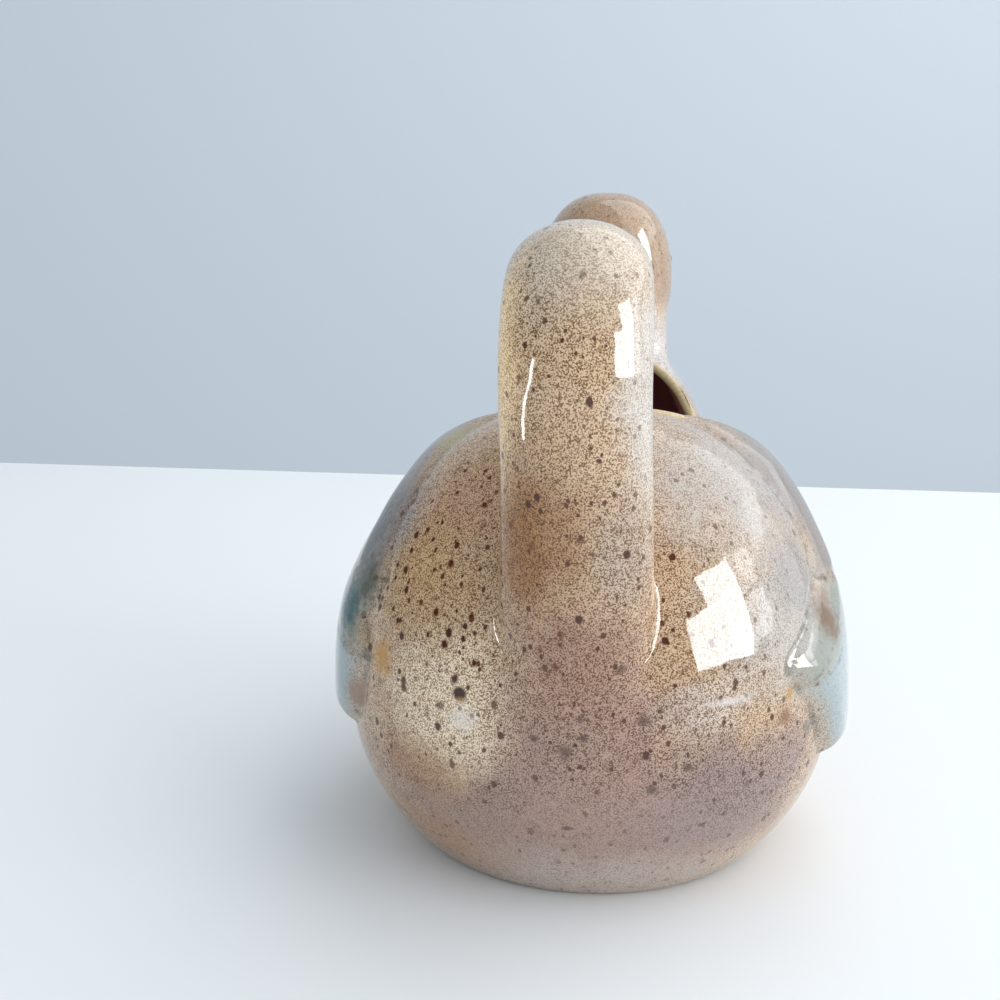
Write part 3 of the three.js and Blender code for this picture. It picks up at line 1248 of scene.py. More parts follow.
class Graph:
    """Adds and links the nodes of one shader tree."""

    NOISE_ROUGHNESS = 0.6

    def __init__(self, tree: bpy.types.NodeTree) -> None:
        """Start on a tree."""
        self.tree = tree

    def node(self, kind: str, inputs: dict | None = None, **settings: object) -> bpy.types.Node:
        """Add a node.

        Args:
            kind: The node's type.
            inputs: Values or sockets for its inputs, by name or number.
            **settings: Values for its properties.

        Returns:
            The node.
        """
        node = self.tree.nodes.new(kind)
        for key, value in settings.items():
            setattr(node, key, value)
        for key, value in (inputs or {}).items():
            if isinstance(value, Socket):
                self.tree.links.new(value, node.inputs[key])
            else:
                node.inputs[key].default_value = value
        return node

    def math(self, operation: str, first: object, second: object = 0.0) -> Socket:
        """The result of a sum on one or two values."""
        return self.node("ShaderNodeMath", {0: first, 1: second}, operation=operation).outputs[0]

    def product(self, first: object, *others: object) -> Socket:
        """Several values multiplied together."""
        for other in others:
            first = self.math("MULTIPLY", first, other)
        return first

    def vector(self, operation: str, first: object, second: object) -> Socket:
        """The result of a sum on two vectors."""
        inputs = {0: first, 1: second}
        return self.node("ShaderNodeVectorMath", inputs, operation=operation).outputs[0]

    def mix(self, share: object, low: object, high: object, blend: str = "MIX") -> Socket:
        """A colour laid over another by a share."""
        inputs = {0: share, 6: low, 7: high}
        return self.node("ShaderNodeMix", inputs, data_type="RGBA", blend_type=blend).outputs[2]

    def tint(self, colour: object, by: object) -> Socket:
        """A colour multiplied by another."""
        return self.mix(1.0, colour, by, "MULTIPLY")

    def step(self, value: object, low: object, high: object) -> Socket:
        """A soft step from 0 at low to 1 at high."""
        inputs = {"Value": value, "From Min": low, "From Max": high}
        return self.node("ShaderNodeMapRange", inputs, interpolation_type="SMOOTHSTEP").outputs[0]

    def noise(self, point: object, scale: object, detail: float = 2.0) -> Socket:
        """Cloudy values about one half.

        Args:
            point: The place that is read.
            scale: How many clouds lie on a millimetre.
            detail: How often a cloud is broken up.

        Returns:
            The values.
        """
        inputs = {"Vector": point, "Scale": scale, "Detail": detail}
        inputs["Roughness"] = self.NOISE_ROUGHNESS
        return self.node("ShaderNodeTexNoise", inputs).outputs[0]


class Effect:
    """A shader node group with named sockets."""

    def __init__(self, name: str, inputs: dict[str, str], output: tuple[str, str]) -> None:
        """Make the group's tree and its sockets.

        Args:
            name: The group's name.
            inputs: The types of its inputs by name.
            output: The name and type of its output.
        """
        self.tree = bpy.data.node_groups.new(name, "ShaderNodeTree")
        for label, kind in inputs.items():
            self.tree.interface.new_socket(label, in_out="INPUT", socket_type=f"NodeSocket{kind}")
        label, kind = output
        self.tree.interface.new_socket(label, in_out="OUTPUT", socket_type=f"NodeSocket{kind}")
        self.graph = Graph(self.tree)
        self.inputs = self.tree.nodes.new("NodeGroupInput").outputs

    def give(self, result: Socket) -> None:
        """Wire the group's result."""
        self.graph.node("NodeGroupOutput", {0: result})

    def placed(self, graph: Graph, inputs: dict[str, object]) -> Socket:
        """The group's result in another tree, from values or sockets for its inputs."""
        return graph.node("ShaderNodeGroup", inputs, node_tree=self.tree).outputs[0]


class Effects:
    """The effects that the finishes share."""

    FINE_SHARE = 0.85
    BROAD_GRAIN = 0.2
    FLECK_STEP = (0.54, 0.43)
    CLEAR = (1.2, 1.2, 1.2, 1.0)
    WOBBLE_SCALE = 1.2
    WOBBLE = (0.6, 0.6, 0.6)
    SPOT_STRETCH = (1.0, 1.0, 0.78)
    SPOT_LEAST = 0.4
    SPOT_CORE = 0.6
    CLOUD_MIDDLE = 0.5

    def __init__(self) -> None:
        """Build every group once."""
        self.mottle = self._mottle()
        self.spots = self._spots()
        self.pool = self._pool()

    def _mottle(self) -> Effect:
        """Stipple: fine darker flecks of the ground's own colour.

        Returns:
            The group, which gives a colour.
        """
        effect = Effect(
            "clay_mottle",
            {"Point": "Vector", "Ground": "Color", "Fleck": "Color", "Grain": "Float",
             "Strength": "Float"},
            ("Color", "Color"),
        )
        graph, inputs = effect.graph, effect.inputs
        fine = graph.noise(inputs["Point"], graph.math("DIVIDE", 1.0, inputs["Grain"]))
        broad = graph.noise(inputs["Point"], graph.math("DIVIDE", self.BROAD_GRAIN, inputs["Grain"]))
        both = graph.math(
            "ADD", graph.product(fine, self.FINE_SHARE), graph.product(broad, 1 - self.FINE_SHARE)
        )
        dark = graph.product(graph.step(both, *self.FLECK_STEP), inputs["Strength"])
        shade = graph.tint(inputs["Ground"], inputs["Fleck"])
        clear = graph.tint(inputs["Ground"], self.CLEAR)
        effect.give(graph.mix(dark, clear, shade))
        return effect

    def _spots(self) -> Effect:
        """Iron spots: round blots scattered at random, one to a cell at most.

        Returns:
            The group, which gives a mask.
        """
        effect = Effect(
            "iron_spots",
            {"Point": "Vector", "Cell": "Float", "Radius": "Float", "Share": "Float"},
            ("Mask", "Float"),
        )
        graph, inputs = effect.graph, effect.inputs
        noise = {"Vector": inputs["Point"], "Scale": self.WOBBLE_SCALE}
        wobble = graph.node("ShaderNodeTexNoise", noise).outputs["Color"]
        shifted = graph.vector("ADD", inputs["Point"], graph.vector("MULTIPLY", wobble, self.WOBBLE))
        drawn = graph.vector("MULTIPLY", shifted, self.SPOT_STRETCH)
        scale = graph.math("DIVIDE", 1.0, inputs["Cell"])
        cells = graph.node("ShaderNodeTexVoronoi", {"Vector": drawn, "Scale": scale}).outputs
        away = graph.product(cells["Distance"], inputs["Cell"])
        chance = graph.node("ShaderNodeSeparateColor", {0: cells["Color"]}).outputs
        size = graph.math("ADD", graph.product(chance[1], 1 - self.SPOT_LEAST), self.SPOT_LEAST)
        radius = graph.product(size, inputs["Radius"])
        spot = graph.step(away, radius, graph.product(radius, self.SPOT_CORE))
        kept = graph.math("LESS_THAN", chance[0], inputs["Share"])
        effect.give(graph.product(spot, kept))
        return effect

    def _pool(self) -> Effect:
        """A ragged oval pool of colour.

        Returns:
            The group, which gives a mask.
        """
        effect = Effect(
            "glaze_pool",
            {"Point": "Vector", "Centre": "Vector", "Reach": "Vector", "Cloud": "Float",
             "Ragged": "Float", "Core": "Float"},
            ("Mask", "Float"),
        )
        graph, inputs = effect.graph, effect.inputs
        offset = graph.vector("SUBTRACT", inputs["Point"], inputs["Centre"])
        share = graph.vector("DIVIDE", offset, inputs["Reach"])
        length = graph.node("ShaderNodeVectorMath", {0: share}, operation="LENGTH").outputs["Value"]
        cloud = graph.math("SUBTRACT", inputs["Cloud"], self.CLOUD_MIDDLE)
        edge = graph.math("ADD", length, graph.product(cloud, inputs["Ragged"]))
        effect.give(graph.step(edge, 1.0, inputs["Core"]))
        return effect


@dataclass(frozen=True)
class Pool:
    """A pool of colour or a zone in a glaze: where it lies, in millimetres, and how it looks."""

    centre: Triple
    reach: Triple
    colour: str = "#ffffff"
    strength: float = 1.0
    ragged: float = 0.8
    core: float = 0.2


@dataclass(frozen=True)
class FeatherWash:
    """A wash of colour over one wing layer, soft at its edge."""

    layer: str
    colour: str
    start: float = -1.5
    end: float = 3.5
    strength: float = 0.9


@dataclass(frozen=True)
class Pooled:
    """Dark glaze that gathers in broken dashes along the wing's edges."""

    layer: str
    colour: str
    width: float = 1.2
    dash: float = 0.32
    strength: float = 0.75
    core: float = 0.3
    gaps: tuple[float, float] = (0.45, 0.6)


@dataclass(frozen=True)
class Spotting:
    """One scatter of iron spots."""

    cell: float
    radius: float
    share: float
    colour: str
    strength: float
    zone: Pool | None = None


class Surface:
    """The tree of one finish, with what its layers read at each point of the pitcher."""

    def __init__(self, tree: bpy.types.NodeTree, effects: Effects) -> None:
        """Start on a material's tree.

        Args:
            tree: The tree.
            effects: The shared effects.
        """
        self.graph = Graph(tree)
        self.effects = effects
        place = self.graph.node("ShaderNodeTexCoord").outputs["Object"]
        inputs = {0: place, 3: 1 / MM}
        self.point = self.graph.node("ShaderNodeVectorMath", inputs, operation="SCALE").outputs[0]
        self.axes = self.graph.node("ShaderNodeSeparateXYZ", {0: self.point}).outputs

    def mark(self, name: str) -> Socket:
        """One of the marks that a piece carries at its vertices."""
        return self.graph.node("ShaderNodeAttribute", attribute_name=name).outputs["Fac"]

    def share(self, pool: Pool, cloud: Socket) -> Socket:
        """How much of one pool lies at each point.

        Args:
            pool: The pool.
            cloud: The cloudy values that make its edge ragged.

        Returns:
            The pool's share.
        """
        mask = self.effects.pool.placed(self.graph, {
            "Point": self.point, "Cloud": cloud, "Centre": pool.centre, "Reach": pool.reach,
            "Ragged": pool.ragged, "Core": pool.core,
        })
        return self.graph.product(mask, pool.strength)

    def pooled(self, colour: object, pools: tuple[Pool, ...], cloud: Socket) -> object:
        """Lay pools of colour over a colour.

        Args:
            colour: The colour underneath.
            pools: The pools in order.
            cloud: The cloudy values that make their edges ragged.

        Returns:
            The colour with the pools.
        """
        for pool in pools:
            colour = self.graph.mix(self.share(pool, cloud), colour, paint(pool.colour))
        return colour


@dataclass(frozen=True)
class Glaze:
    """A glossy speckled glaze."""

    ground: str
    fleck: str
    grain: float
    strength: float
    washes_and_sheen: tuple[Pool, ...] = ()
    feathers: tuple[FeatherWash, ...] = ()
    pooled: tuple[Pooled, ...] = ()
    spots: tuple[Spotting, ...] = ()
    blots_and_reflection: tuple[Pool, ...] = ()
    calm_and_sheen: tuple[Pool, ...] = ()
    plain_feathers: float = 0.8
    lining: str = "#9a5c58"
    bare_below: float = 0.0
    bare_edge: tuple[float, float] = (1.3, 0.7)
    bare: str = "#b3a28d"
    fade: tuple[float, float] = (36.0, 6.0)
    cloud: tuple[float, float] = (0.1, 3.0)
    blot_cloud: tuple[float, float] = (0.6, 2.0)
    roughness: float = 0.05
    ior: float = 1.55
    ripple: tuple[float, float] = (0.12, 1.0)
    ripple_strength: float = 0.35
    ripple_height: float = 0.0006

    def material(self, name: str, effects: Effects) -> bpy.types.Material:
        """Build the finish as a node material.

        Args:
            name: The material's name.
            effects: The shared effects.

        Returns:
            The material.
        """
        material = bpy.data.materials.new(name)
        material.use_nodes = True
        surface = Surface(material.node_tree, effects)
        graph = surface.graph
        wave = graph.noise(surface.point, *self.ripple)
        bump = graph.node("ShaderNodeBump", {
            "Strength": self.ripple_strength, "Distance": self.ripple_height, "Height": wave,
        })
        shader = material.node_tree.nodes["Principled BSDF"]
        graph.tree.links.new(self._colour(surface), shader.inputs["Base Color"])
        graph.tree.links.new(bump.outputs[0], shader.inputs["Normal"])
        shader.inputs["Roughness"].default_value = self.roughness
        shader.inputs["IOR"].default_value = self.ior
        return material

    def _colour(self, surface: Surface) -> Socket:
        """Lay the glaze's layers of colour over each other.

        Args:
            surface: The finish's tree.

        Returns:
            The colour at each point.
        """
        graph = surface.graph
        cloud = graph.noise(surface.point, *self.cloud)
        behind = graph.step(surface.axes[1], *self.fade)
        # Washes of glaze colour; the pale grey ones on the right side are partly painted sheen.
        ground = surface.pooled(paint(self.ground), self.washes_and_sheen, cloud)
        cover: object = 0.0
        for wash in self.feathers:
            depth = graph.step(surface.mark(wash.layer), wash.start, wash.end)
            share = graph.product(depth, wash.strength, behind)
            ground = graph.mix(share, ground, paint(wash.colour))
            cover = graph.math("MAXIMUM", cover, share)
        bare = graph.math("SUBTRACT", 1.0, graph.product(cover, self.plain_feathers))
        # Specks and spots are toned down in these zones, some of which stand in for a pale sheen.
        for zone in self.calm_and_sheen:
            bare = graph.product(bare, graph.math("SUBTRACT", 1.0, surface.share(zone, cloud)))
        colour = surface.effects.mottle.placed(graph, {
            "Point": surface.point, "Ground": ground, "Fleck": paint(self.fleck),
            "Grain": self.grain, "Strength": graph.product(bare, self.strength),
        })
        for spotting in self.spots:
            mask = surface.effects.spots.placed(graph, {
                "Point": surface.point, "Cell": spotting.cell, "Radius": spotting.radius,
                "Share": spotting.share,
            })
            share = graph.product(mask, spotting.strength, bare)
            if spotting.zone:
                share = graph.product(share, surface.share(spotting.zone, cloud))
            colour = graph.mix(share, colour, paint(spotting.colour))
        for line in self.pooled:
            away = graph.math("ABSOLUTE", surface.mark(line.layer))
            near = graph.step(away, line.width, line.width * line.core)
            dash = graph.step(graph.noise(surface.point, line.dash), *line.gaps)
            share = graph.product(near, dash, line.strength, behind)
            colour = graph.mix(share, colour, paint(line.colour))
        # Blots of glaze colour are laid on here, among them one painted reflection of the table's
        # edge.
        blot_cloud = graph.noise(surface.point, *self.blot_cloud)
        colour = surface.pooled(colour, self.blots_and_reflection, blot_cloud)
        colour = graph.mix(surface.mark("inside"), colour, paint(self.lining))
        if self.bare_below:
            edge = (self.bare_below * part for part in self.bare_edge)
            colour = graph.mix(graph.step(surface.axes[2], *edge), colour, paint(self.bare))
        return colour


class Slot(Enum):
    """The record's material slots."""

    SPECKLED = "speckled_glaze"
    RIM = "rim_glaze"
    COVERTS = "coverts_glaze"
    SECONDARIES = "secondaries_glaze"
    PRIMARIES = "primaries_glaze"
    BILL = "bill_glaze"
    EYE = "eye_glaze"
    CLAY = "bare_clay"


FINE_SPECKS = Spotting(1.5, 0.34, 0.75, "#5a3016", 0.85)
SMALL_SPOTS = Spotting(2.3, 0.66, 0.75, "#55270d", 0.93)
IRON_SPOTS = Spotting(4.1, 1.0, 0.8, "#4b1c06", 0.96)
SPOTTED_SIDE = Pool((-26, -38, 65), (34, 50, 29), ragged=0.4, core=0.6)
RUST_RINGS = Spotting(3.0, 1.25, 0.8, "#8a5226", 0.55, SPOTTED_SIDE)
LARGE_SPOTS = Spotting(3.0, 0.92, 0.8, "#431905", 0.96, SPOTTED_SIDE)

# Washes of glaze colour. The pale grey ones on the right side, where the window light falls, are
# partly painted sheen.
WASHES_AND_SHEEN = (
    Pool((0, 58, 130), (36, 40, 30), "#a18873"),
    # Partly painted sheen: pale grey on the neck's right side.
    Pool((14, 38, 106), (16, 26, 18), "#d6cfca"),
    Pool((0, -45, 134), (34, 34, 26), "#d3c5b3"),
    Pool((0, -57, 103), (18, 14, 28), "#d6ba9a"),
    Pool((-14, -50, 110), (8, 14, 34), "#ffe0b2"),
    # Partly painted sheen: pale grey down the handle's right side.
    Pool((13, -52, 108), (9, 16, 36), "#d0c8bf"),
    Pool((-9, -56, 80), (17, 15, 30), "#9c6832", 0.88, core=0.05),
    Pool((10, -56, 78), (9, 12, 20), "#beaa98"),
    # Partly painted sheen: these two pale grey washes on the upper right flank stand in for the
    # sheen over that side as well as the glaze's tone.
    Pool((30, -18, 86), (30, 34, 26), "#b9b1aa"),
    Pool((40, -28, 60), (28, 28, 24), "#bfb8b1"),
    Pool((44, -23, 68), (10, 16, 14), "#9f9a98", 0.8),
    Pool((0, -45, 22), (60, 40, 24), "#a48b80", core=0.5),
    Pool((30, -43, 26), (34, 28, 20), "#9b8783"),
    Pool((25, -46.6, 46.4), (20, 14, 8), "#cec1b6", 0.8),
    Pool((40, -34, 34), (14, 14, 10), "#a8928a", 0.8),
    Pool((41, -6, 82), (12, 16, 15), "#aaa4a2", 0.85),
    Pool((-25, -46, 43), (20, 20, 21), "#eedbc0", core=0.35),
    Pool((-26, -30, 80), (18, 18, 13), "#cba78b"),
    Pool((-31, -33, 69), (18, 18, 17), "#d3ae7a", 0.6, core=0.1),
    Pool((-41, -18, 77), (13, 18, 15), "#9d918d", 0.8),
    Pool((-32, -42, 29), (22, 20, 10), "#ab7f52", 0.65, core=0.1),
    Pool((4, -52, 42), (26, 20, 28), "#ab8e81"),
    Pool((2, -54, 57), (18, 16, 18), "#ad8a76"),
    Pool((0, -40, 4), (60, 46, 16), "#b8a99f"),
    Pool((-30, -34, 10), (28, 28, 14), "#a9805c", 0.7),
)

# Zones where specks and spots are toned down: partly the glaze's own quieter patches, partly painted
# sheen, where the handle's top and right side and the right flank look washed out by a pale sheen.
CALM_AND_SHEEN = (
    Pool((0, -45, 12), (66, 46, 30), strength=0.5, core=0.3),
    Pool((6, -45, 136), (32, 32, 24), strength=0.4),
    Pool((36, -16, 84), (32, 36, 28), strength=0.5),
    Pool((0, 58, 120), (40, 44, 40), strength=0.5, core=0.5),
    Pool((13, -52, 108), (9, 16, 36), strength=0.45),
    Pool((-14, -50, 110), (6, 14, 34), strength=0.35),
    Pool((44, -24, 58), (22, 28, 24), strength=0.5),
)

FEATHERS = (
    FeatherWash("primaries", "#98abb1"),
    FeatherWash("secondaries", "#8f968f"),
    FeatherWash("coverts", "#8a8482"),
)
POOLED = (
    Pooled("coverts", "#55534b", 0.8, strength=0.4),
    Pooled("secondaries", "#4b4636", 0.8, strength=0.45),
    Pooled("primaries", "#5b6160", 0.8, strength=0.45),
)
# Blots of glaze colour, and one painted reflection.
BLOTS_AND_REFLECTION = (
    Pool((50.5, -20, 56.5), (6, 5, 9), "#7a5c43", 0.9),
    Pool((51, -17, 62), (5, 3.5, 4), "#94583c", 0.45),
    Pool((43.5, -34, 45.5), (2.6, 2.6, 3.2), "#b98a2e"),
    Pool((42, -35, 41), (3, 3, 3), "#8a5a3a", 0.8),
    Pool((46, -27, 36), (3.5, 3.5, 3), "#5d625a", 0.7),
    Pool((47, -24, 31), (3.5, 3.5, 3), "#8a7478", 0.7),
    Pool((-50, -8, 70), (16, 22, 24), "#545651", 0.92),
    Pool((-46, -23, 62), (5, 9, 9), "#5a5f58", 0.85),
    Pool((-50, -21, 55), (7, 7, 9), "#4a6c70", 0.9),
    Pool((-41.5, -34, 48.9), (5.5, 5.5, 6), "#c08a35", 0.95, 1.0, 0.1),
    Pool((-48, -28, 38), (5, 5, 5), "#9a7f70", 0.8),
    Pool((-30, -2, 90), (8, 10, 5), "#a9a480", 0.6),
    Pool((-22, -47.9, 42.3), (5, 5, 4.5), "#f6eee2", 0.7, core=0.0),
    # Painted reflection: a thin pale band low on the right flank stands in for the table's edge
    # mirrored in the gloss.
    Pool((31, -43.5, 47), (9, 8, 1.4), "#e6dfda", 0.55, 0.4),
    Pool((-22.7, -47.1, 47.2), (2.0, 2.0, 2.1), "#3a2212", 1.0, 0.5, 0.5),
    Pool((-22.4, -47.6, 45.9), (1.2, 3, 1.1), "#b07a3c", 0.95),
    Pool((9.3, -52, 55.6), (1.7, 3, 1.7), "#573c33", 0.85, 0.6),
    Pool((13.8, -50.8, 45), (2.2, 3, 1.7), "#533c35", 0.85, 0.6),
    Pool((-1.2, -53, 39), (2.2, 3, 2.2), "#5c4038", 0.8, 0.6),
    Pool((2.4, -53, 42), (1.3, 3, 1.2), "#5c4038", 0.8, 0.6),
    Pool((1.7, -53, 45.9), (1.5, 3, 1.2), "#5c4038", 0.7, 0.6),
    Pool((-7.2, -52.5, 41.1), (1.3, 3, 1.2), "#5c4038", 0.8, 0.6),
    Pool((15.5, -50.4, 30.9), (1.8, 3, 1.3), "#54403c", 0.8, 0.6),
    Pool((-0.6, -51, 21.8), (1.6, 3, 0.8), "#54403c", 0.8, 0.6),
    Pool((22.2, -48.2, 34.9), (1.5, 3, 1.2), "#54403c", 0.8, 0.6),
    Pool((-9.8, -53, 52.3), (1.3, 3, 1.2), "#573c33", 0.8, 0.6),
)


VESSEL_GLAZE = Glaze(
    "#cbb092", "#a08262", 0.31, 1.0, washes_and_sheen=WASHES_AND_SHEEN, feathers=FEATHERS, pooled=POOLED,
    spots=(FINE_SPECKS, SMALL_SPOTS, IRON_SPOTS, RUST_RINGS, LARGE_SPOTS), blots_and_reflection=BLOTS_AND_REFLECTION, calm_and_sheen=CALM_AND_SHEEN,
)
FINISHES = {
    Slot.SPECKLED: VESSEL_GLAZE,
    Slot.COVERTS: VESSEL_GLAZE,
    Slot.SECONDARIES: VESSEL_GLAZE,
    Slot.PRIMARIES: VESSEL_GLAZE,
    Slot.RIM: Glaze("#bfab84", "#c8b89a", 0.8, 0.25),
    Slot.BILL: Glaze("#b98f58", "#b8a080", 0.75, 0.8, spots=(FINE_SPECKS,)),
    Slot.EYE: Glaze("#22140d", "#a09080", 0.5, 0.5),
    Slot.CLAY: replace(VESSEL_GLAZE, bare_below=1.2),
}

MEMBER_SLOTS = {
    "body_shell": Slot.SPECKLED,
    "neck": Slot.SPECKLED,
    "head": Slot.SPECKLED,
    "tail_handle": Slot.SPECKLED,
    "tail_root": Slot.SPECKLED,
    "handle_lug": Slot.SPECKLED,
    "mouth_rim": Slot.RIM,
    "upper_bill": Slot.BILL,
    "lower_bill": Slot.BILL,
    "base_slab": Slot.CLAY,
    "right_eye": Slot.EYE,
    "left_eye": Slot.EYE,
    "right_wing_coverts": Slot.COVERTS,
    "left_wing_coverts": Slot.COVERTS,
    "right_wing_secondaries": Slot.SECONDARIES,
    "left_wing_secondaries": Slot.SECONDARIES,
    "right_wing_primaries": Slot.PRIMARIES,
    "left_wing_primaries": Slot.PRIMARIES,
}


class Glow(Enum):
    """What a lamp does: it lights, it shows in the gloss, or both."""

    LIGHT = "light"
    GLOSS = "gloss"
    BOTH = "both"


@dataclass(frozen=True)
class Lamp:
    """A flat soft light aimed at the pitcher."""

    name: str
    azimuth: float
    elevation: float
    distance: float
    size: tuple[float, float]
    radiance: float
    colour: str = "#ffffff"
    glow: Glow = Glow.BOTH
    aim: Triple = (0.0, 0.0, 0.06)
    roll: float = 0.0
    receivers: tuple[str, ...] = ()

    def add(self) -> None:
        """Hang the light and turn it to its aim."""
        turn, lift = math.radians(self.azimuth), math.radians(self.elevation)
        way = Vector((
            math.sin(turn) * math.cos(lift), -math.cos(turn) * math.cos(lift), math.sin(lift)
        ))
        data = bpy.data.lights.new(self.name, "AREA")
        data.shape = "RECTANGLE"
        data.size, data.size_y = self.size
        data.energy = self.radiance * math.pi * self.size[0] * self.size[1]
        data.color = paint(self.colour)[:3]
        lamp = bpy.data.objects.new(self.name, data)
        lamp.location = Vector(self.aim) + way * self.distance
        facing = way.to_track_quat("Z", "Y").to_matrix()
        lamp.rotation_euler = (facing @ Matrix.Rotation(math.radians(self.roll), 3, "Z")).to_euler()
        lamp.visible_diffuse = self.glow is not Glow.GLOSS
        lamp.visible_glossy = self.glow is not Glow.LIGHT
        lamp.visible_camera = False
        bpy.context.scene.collection.objects.link(lamp)

    def link(self) -> None:
        """Keep the light to its receivers, if it has any."""
        if self.receivers:
            group = bpy.data.collections.new(f"{self.name}_receivers")
            for name in self.receivers:
                group.objects.link(bpy.data.objects[f"{name}_glazed"])
            bpy.data.objects[self.name].light_linking.receiver_collection = group


@dataclass(frozen=True)
class Studio:
    """The pale table, the wall behind it, the lights and the camera."""

    lamps: tuple[Lamp, ...]
    table_far: float = 0.378
    table_slant: float = 0.016
    table_side: float = 1.6
    table_near: float = -1.0
    wall_far: float = 1.1
    wall_top: float = 1.6
    wall_foot: float = -0.8
    camera_place: Triple = (0.012694, -0.24536, 0.133)
    camera_pitch: float = 13.08
    camera_yaw: float = 7.77
    lens: float = 39.6
    sensor: float = 36.0
    sheet_roughness: float = 0.6
    sheet_specular: float = 0.2
    table_colour: str = "#f1f3f4"
    wall_colour: str = "#dde5ec"
    sky: str = "#dfe7ee"
    sky_strength: float = 0.78
    sky_gloss: float = 0.25

    def sheet(self, name: str, corners: Sequence[Triple], colour: str) -> None:
        """Add one flat staged sheet.

        Args:
            name: The sheet's name.
            corners: Its four corners.
            colour: Its colour.
        """
        bpy.ops.object.select_all(action="DESELECT")
        bpy.ops.mesh.primitive_plane_add(size=1.0)
        sheet = named(name)
        set_points(sheet, np.array(corners))
        material = bpy.data.materials.new(name)
        material.use_nodes = True
        shader = material.node_tree.nodes["Principled BSDF"]
        shader.inputs["Base Color"].default_value = paint(colour)
        shader.inputs["Roughness"].default_value = self.sheet_roughness
        shader.inputs["Specular IOR Level"].default_value = self.sheet_specular
        sheet.data.materials.append(material)

    def add(self) -> None:
        """Set up the studio."""
        side, near = self.table_side, self.table_near
        left, right = self.table_far + self.table_slant, self.table_far - self.table_slant
        table = [(-side, near, 0), (side, near, 0), (-side, left, 0), (side, right, 0)]
        self.sheet("table", table, self.table_colour)
        wide, far = 2 * side, self.wall_far
        wall = [(x, far, z) for z in (self.wall_foot, self.wall_top) for x in (-wide, wide)]
        self.sheet("wall", wall, self.wall_colour)
        self.light_sky()
        for lamp in self.lamps:
            lamp.add()
        self.set_camera()
        bpy.context.scene.view_settings.view_transform = "Standard"

    def light_sky(self) -> None:
        """Light the room evenly, weaker where it shows in the gloss."""
        world = bpy.data.worlds.new("sky")
        world.use_nodes = True
        background = world.node_tree.nodes["Background"]
        background.inputs["Color"].default_value = paint(self.sky)
        graph = Graph(world.node_tree)
        glossy = graph.node("ShaderNodeLightPath").outputs["Is Glossy Ray"]
        levels = {"Value": glossy, "To Min": self.sky_strength, "To Max": self.sky_gloss}
        strength = graph.node("ShaderNodeMapRange", levels).outputs[0]
        graph.tree.links.new(strength, background.inputs["Strength"])
        bpy.context.scene.world = world

    def set_camera(self) -> None:
        """Stand the camera where the photograph was taken from."""
        data = bpy.data.cameras.new("camera")
        data.lens = self.lens
        data.sensor_width = self.sensor
        camera = bpy.data.objects.new("camera", data)
        camera.location = self.camera_place
        turn = (90.0 - self.camera_pitch, 0.0, self.camera_yaw)
        camera.rotation_euler = [math.radians(angle) for angle in turn]
        bpy.context.scene.collection.objects.link(camera)
        bpy.context.scene.camera = camera


BODY_EGG = Egg((0.0, 0.0, 33.6), 55.8, 72.0, 52.0, 64.3, 49.9, 0.89)
HEAD_EGG = Egg((0.0, 58.0, 122.0), 17.7, 26.0, 22.0, 24.4, 18.0, 0.82)

WING_TOP: Run = ((41, 60), (25, 85), (6, 96))
RIGHT_WING = Wing(
    Side.RIGHT,
    WING_TOP,
    (
        ((6, 96), (-4, 89), (-7.5, 80), (-9.5, 71.5), (-15.5, 64)),
        ((-15.5, 64), (-21, 60.5), (-27, 56), (-31.5, 52.5), (-32.8, 49.3), (-31, 44.5)),
        ((-31, 44.5), (-28, 40.5), (-24.5, 33), (-20, 26)),
    ),
    bottom=((-20, 26), (2, 21), (26, 32), (37, 52), (41, 60)),
    upper_seam=((-15.5, 64), (-2, 61), (16, 57), (41, 60)),
    lower_seam=((-31, 44.5), (-22, 48), (-12, 50.5), (12, 48), (41, 60)),
    overlap=((41, 60), (12, 53), (-12, 55), (-26, 50), (-31, 44.5)),
    thickness=((25, 3.3), (45, 3.3), (60, 2.9), (72, 3.0), (80, 3.6), (88, 4.3), (95, 3.4)),
)
LEFT_WING = Wing(
    Side.LEFT,
    WING_TOP,
    (
        ((6, 96), (-7, 88.5), (-16, 82), (-20.5, 75), (-25, 68.5), (-27.8, 63.7)),
        ((-27.8, 63.7), (-26.8, 58), (-26.6, 54), (-29, 50), (-30, 46.6)),
        ((-30, 46.6), (-29, 40.5), (-27.5, 34), (-22, 28)),
    ),
    bottom=((-22, 28), (2, 23), (26, 33), (37, 52), (41, 60)),
    upper_seam=((-27.8, 63.7), (-8, 60.5), (16, 57), (41, 60)),
    lower_seam=((-30, 46.6), (-20, 49), (-8, 50), (12, 48), (41, 60)),
    overlap=((41, 60), (12, 53), (-8, 54.5), (-22, 52), (-30, 46.6)),
    thickness=(
        (25, 2.9), (45, 3.4), (55, 3.0), (63, 1.9), (72, 1.0), (80, 1.3), (88, 2.8), (95, 2.6)
    ),
)

REAR_PAD = Pad((0.0, -48.0, 46.0), (14.0, 5.0, 22.0), (25.0, 15.0, 30.0))
BACK_PAD = Pad((0.0, -12.3, 95.7), (14.0, 8.5, 4.5), (18.0, 11.5, 9.0))

